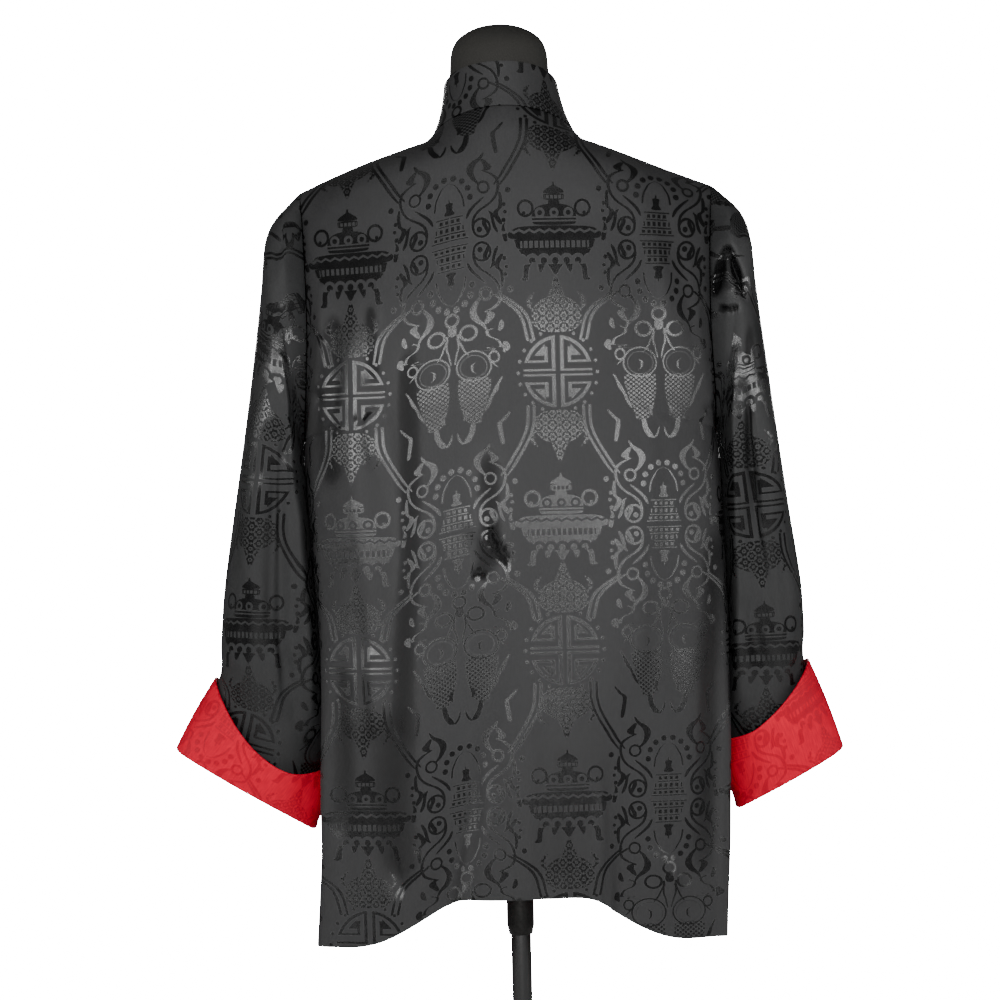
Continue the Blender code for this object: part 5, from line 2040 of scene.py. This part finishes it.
@dataclass
class Studio:
    """The floor, the soft light and the camera."""

    distance: float = 2.4
    """From the garment's middle back to the camera."""
    seen: float = 0.95
    """Width of the view at the garment's middle."""
    height: float = 0.849
    """How high the camera stands."""
    film: float = 36.0
    """Width of the camera's film, in millimetres."""
    shift: float = -0.010
    """How far the view is moved sideways, as a share of its width."""
    tilt: float = 1.45
    """How far the camera leans to one side, in degrees."""
    room: float = 0.07
    """Brightness of the grey room."""
    ground: float = 40.0
    """Brightness of the white ground."""
    floor_radius: float = 1.4
    floor_gap: float = 0.0005
    """How far the floor lies below the stand."""
    aim: tuple[float, float, float] = (0, 0, 0.93)
    """What the wide lights point at."""

    def build(self) -> None:
        """Sets everything up."""
        self.floor()
        self.world()
        self.lights()
        self.spot()
        self.camera()
        log.info("the studio is ready")

    def floor(self) -> None:
        """A pale round floor under the stand."""
        made = bmesh.new()
        bmesh.ops.create_circle(made, cap_ends=True, segments=128, radius=self.floor_radius)
        bmesh.ops.translate(made, verts=made.verts, vec=(0, 0, -self.floor_gap))
        mesh = finished(made, "floor")
        paint = Shader("pale_floor")
        cloud = paint.noise(paint.place(), scale=3.0)
        tone = paint.blend(cloud, (0.88, 0.88, 0.88), (0.93, 0.93, 0.93))
        paint.finish({"Base Color": tone, "Roughness": 0.8})
        mesh.materials.append(paint.material)
        floor = put("floor", mesh)

    def world(self) -> None:
        """A dim grey room in front of a white ground that only the view meets."""
        world = bpy.data.worlds.new("studio")
        bpy.context.scene.world = world
        world.use_nodes = True
        nodes, links = world.node_tree.nodes, world.node_tree.links
        room = nodes["Background"]
        room.inputs["Color"].default_value = (1, 1, 1, 1)
        room.inputs["Strength"].default_value = self.room
        ground = nodes.new("ShaderNodeBackground")
        ground.inputs["Color"].default_value = (1, 1, 1, 1)
        ground.inputs["Strength"].default_value = self.ground
        seen = nodes.new("ShaderNodeLightPath")
        mix = nodes.new("ShaderNodeMixShader")
        links.new(seen.outputs["Is Camera Ray"], mix.inputs[0])
        links.new(room.outputs[0], mix.inputs[1])
        links.new(ground.outputs[0], mix.inputs[2])
        links.new(mix.outputs[0], nodes["World Output"].inputs["Surface"])

    def lights(self) -> None:
        """Wide soft lights: one over the camera, two at each side, one above, one at the front."""
        for name, place, size, power in (
            ("key", (0.1, 2.9, 0.95), (1.9, 0.62), 30),
            ("left", (2.1, 2.2, 0.92), (1.7, 0.7), 17),
            ("right", (-2.1, 2.2, 0.92), (1.7, 0.7), 18),
            ("far left", (2.9, 0.7, 0.92), (1.5, 0.7), 17),
            ("far right", (-2.9, 0.7, 0.92), (1.5, 0.7), 15),
            ("top", (0.0, 1.6, 2.5), (1.6, 1.0), 7),
            ("front", (0.0, -2.6, 1.3), (1.9, 0.9), 50),
        ):
            light = bpy.data.lights.new(name, "AREA")
            light.shape = "RECTANGLE"
            light.size, light.size_y = size
            light.energy = power
            self.hang(light, place, self.aim)

    def spot(self) -> None:
        """A soft round light on the middle of the back."""
        light = bpy.data.lights.new("spot", "SPOT")
        light.energy = 140
        light.spot_size = math.radians(25)
        light.spot_blend = 1.0
        light.shadow_soft_size = 0.3
        self.hang(light, (0.0, 2.75, 1.05), (-0.03, 0.1, 0.97))

    def hang(
        self, light: bpy.types.Light, place: tuple[float, float, float], aim: tuple[float, float, float]
    ) -> None:
        """Hangs a light up.

        Args:
            light: The light.
            place: Where it hangs.
            aim: What it points at.
        """
        made = put(light.name, light)
        made.location = place
        way = Vector(aim) - Vector(place)
        made.rotation_euler = way.to_track_quat("-Z", "Y").to_euler()

    def camera(self) -> None:
        """Level with the waist, behind the garment, turned a little about its view."""
        lens = bpy.data.cameras.new("camera")
        lens.sensor_width = self.film
        lens.lens = self.film * self.distance / self.seen
        lens.shift_x = self.shift
        camera = put("camera", lens)
        camera.matrix_world = (
            Matrix.Translation((0, self.distance, self.height))
            @ Matrix.Rotation(math.pi, 4, "Z")
            @ Matrix.Rotation(math.pi / 2, 4, "X")
            @ Matrix.Rotation(-math.radians(self.tilt), 4, "Z")
        )
        bpy.context.scene.camera = camera


@dataclass
class Fastenings:
    """The five frogs down the front edge."""

    silk: bpy.types.Material
    count: int = 5

    def build(self, fronts: list[bpy.types.Object]) -> None:
        """Lays the frogs on both fronts.

        Args:
            fronts: The left and right fronts of the jacket.
        """
        spots, faces = [], []
        for piece in fronts:
            start = len(spots)
            spots.extend(vert.co for vert in piece.data.vertices)
            faces.extend([start + i for i in face.vertices] for face in piece.data.polygons)
        cloth = BVHTree.FromPolygons(spots, faces)
        for number in range(1, self.count + 1):
            Frog(number, cloth, self.silk).build()


@dataclass
class Jacket:
    """The garment: body, sleeves, turned-back cuffs, stand collar and frogs."""

    brocade: bpy.types.Material
    sleeve_brocade: bpy.types.Material
    red: bpy.types.Material
    silk: bpy.types.Material

    def build(self) -> None:
        """Makes every piece of the garment."""
        body = (self.brocade, self.red)
        BodyPanel("jacket_back", body, BACK_CREASES, flat=(0.50, 0.80), area=0.360).build()
        fronts = [
            BodyPanel(
                f"jacket_front_{side.value}", body, FRONT_CREASES, flat=(0.25, 0.77), area=0.178
            ).build()
            for side in Side
        ]
        self.sleeve(Side.LEFT, LEFT_SLEEVE_CREASES, 0.8, (0.219, 0.995))
        self.sleeve(Side.RIGHT, RIGHT_SLEEVE_CREASES, 0.25, (-0.212, 0.955))
        Collar("collar", (self.brocade, self.brocade), flat=(0.45, 0.05), area=0.018).build()
        Fastenings(self.silk).build(fronts)

    def sleeve(
        self, side: Side, creases: tuple[Crease, ...], slant: float, burner: tuple[float, float]
    ) -> None:
        """Makes a sleeve and its cuff.

        Args:
            side: The wearer's side.
            creases: The sleeve's creases.
            slant: How far the pattern's rows run down towards the body, as a slope.
            burner: Where an incense burner's brim lies on the back of the sleeve, as X and Z.
        """
        Sleeve(
            f"jacket_sleeve_{side.value}",
            (self.sleeve_brocade, self.red),
            creases,
            flat=(0.52, 0.53),
            area=0.145,
            slant=slant,
            burner=burner,
        ).build()
        Cuff(f"cuff_{side.value}", (self.red, self.red), flat=(0.36, 0.10), area=0.029).build()


@dataclass
class Stand:
    """The fitting under the form, the pole and the round base. Profiles are radius and height."""

    metal: bpy.types.Material
    paint: bpy.types.Material
    hole: float = 0.0098
    """Radius of the holes that the pole goes into."""
    pole: float = 0.0095
    base: float = 0.180
    sleeve: float = 0.019
    """Radius of the base's own short tube."""
    plate: float = 0.012
    """The base's thickness."""
    sleeve_top: float = 0.060
    pole_foot: float = 0.020
    pole_top: float = 0.4767
    fitting_foot: float = 0.437
    fitting_top: float = 0.5447
    fitting: float = 0.013
    """The fitting's radius."""
    seat: float = 0.0003
    """What stays between the pole's ends and the bottoms of its holes."""
    lead: float = 0.009
    """How high the fitting's foot is turned to a cone."""
    fillet: float = 0.004
    """The slope between the base and its tube."""

    def build(self) -> None:
        """Turns the three pieces."""
        above, below = self.pole_top + self.seat, self.pole_foot - self.seat
        fitting = (
            (0, self.fitting_top),
            (self.fitting, self.fitting_top),
            (self.fitting, self.fitting_foot + self.lead),
            (self.fitting - self.lead / 5, self.fitting_foot),
            (self.hole, self.fitting_foot),
            (self.hole, above),
            (0, above),
        )
        pole = (
            (0, self.pole_top),
            (self.pole, self.pole_top),
            (self.pole, self.pole_foot),
            (0, self.pole_foot),
        )
        base = (
            (0, below),
            (self.hole, below),
            (self.hole, self.sleeve_top),
            (self.sleeve, self.sleeve_top),
            (self.sleeve, self.plate + self.fillet),
            (self.sleeve + self.fillet, self.plate),
            (self.base, self.plate),
            (self.base, 0),
            (0, 0),
        )
        Turned("form_socket", fitting, self.metal, "dark_metal").build()
        Turned("stand_pole", pole, self.paint, "black_paint").build()
        Turned("stand_base", base, self.paint, "black_paint").build()


def main() -> None:
    """Dresses every piece of the jacket, its form and its stand."""
    logging.basicConfig(level=logging.INFO)
    black = Brocade(
        "black_brocade",
        ground=(0.022, 0.022, 0.0228),
        figure=(0.003, 0.003, 0.0032),
        ground_rough=0.68,
        figure_rough=0.25,
        ground_spread=0.55,
        figure_spread=0.50,
        specular=0.6,
    )
    # The sleeves' copy of the brocade has its ground colour painted darker, as painted shade, and the
    # normal of its lower part leant down.
    sleeve_shaded_copy = replace(black, name="sleeve_brocade", ground=(0.017, 0.0175, 0.018), hang=0.22)
    red = Brocade(
        "red_reverse",
        ground=(0.78, 0.0, 0.03),
        figure=(0.60, 0.0, 0.023),
        ground_rough=0.6,
        figure_rough=0.5,
        specular=0.2,
    )
    brocade, sleeve_brocade = black.material(), sleeve_shaded_copy.material()
    red_reverse = red.material()
    silk = CordSatin().material()
    cover = Jersey().material()
    metal = Coated("dark_metal", (0.035, 0.034, 0.033), 0.38, 1.0).material()
    paint = Coated("black_paint", (0.006, 0.006, 0.006), 0.5, 0.0, 0.1).material()
    DressForm(cover).build()
    Jacket(brocade, sleeve_brocade, red_reverse, silk).build()
    Stand(metal, paint).build()
    Studio().build()


if __name__ == "__main__":
    main()
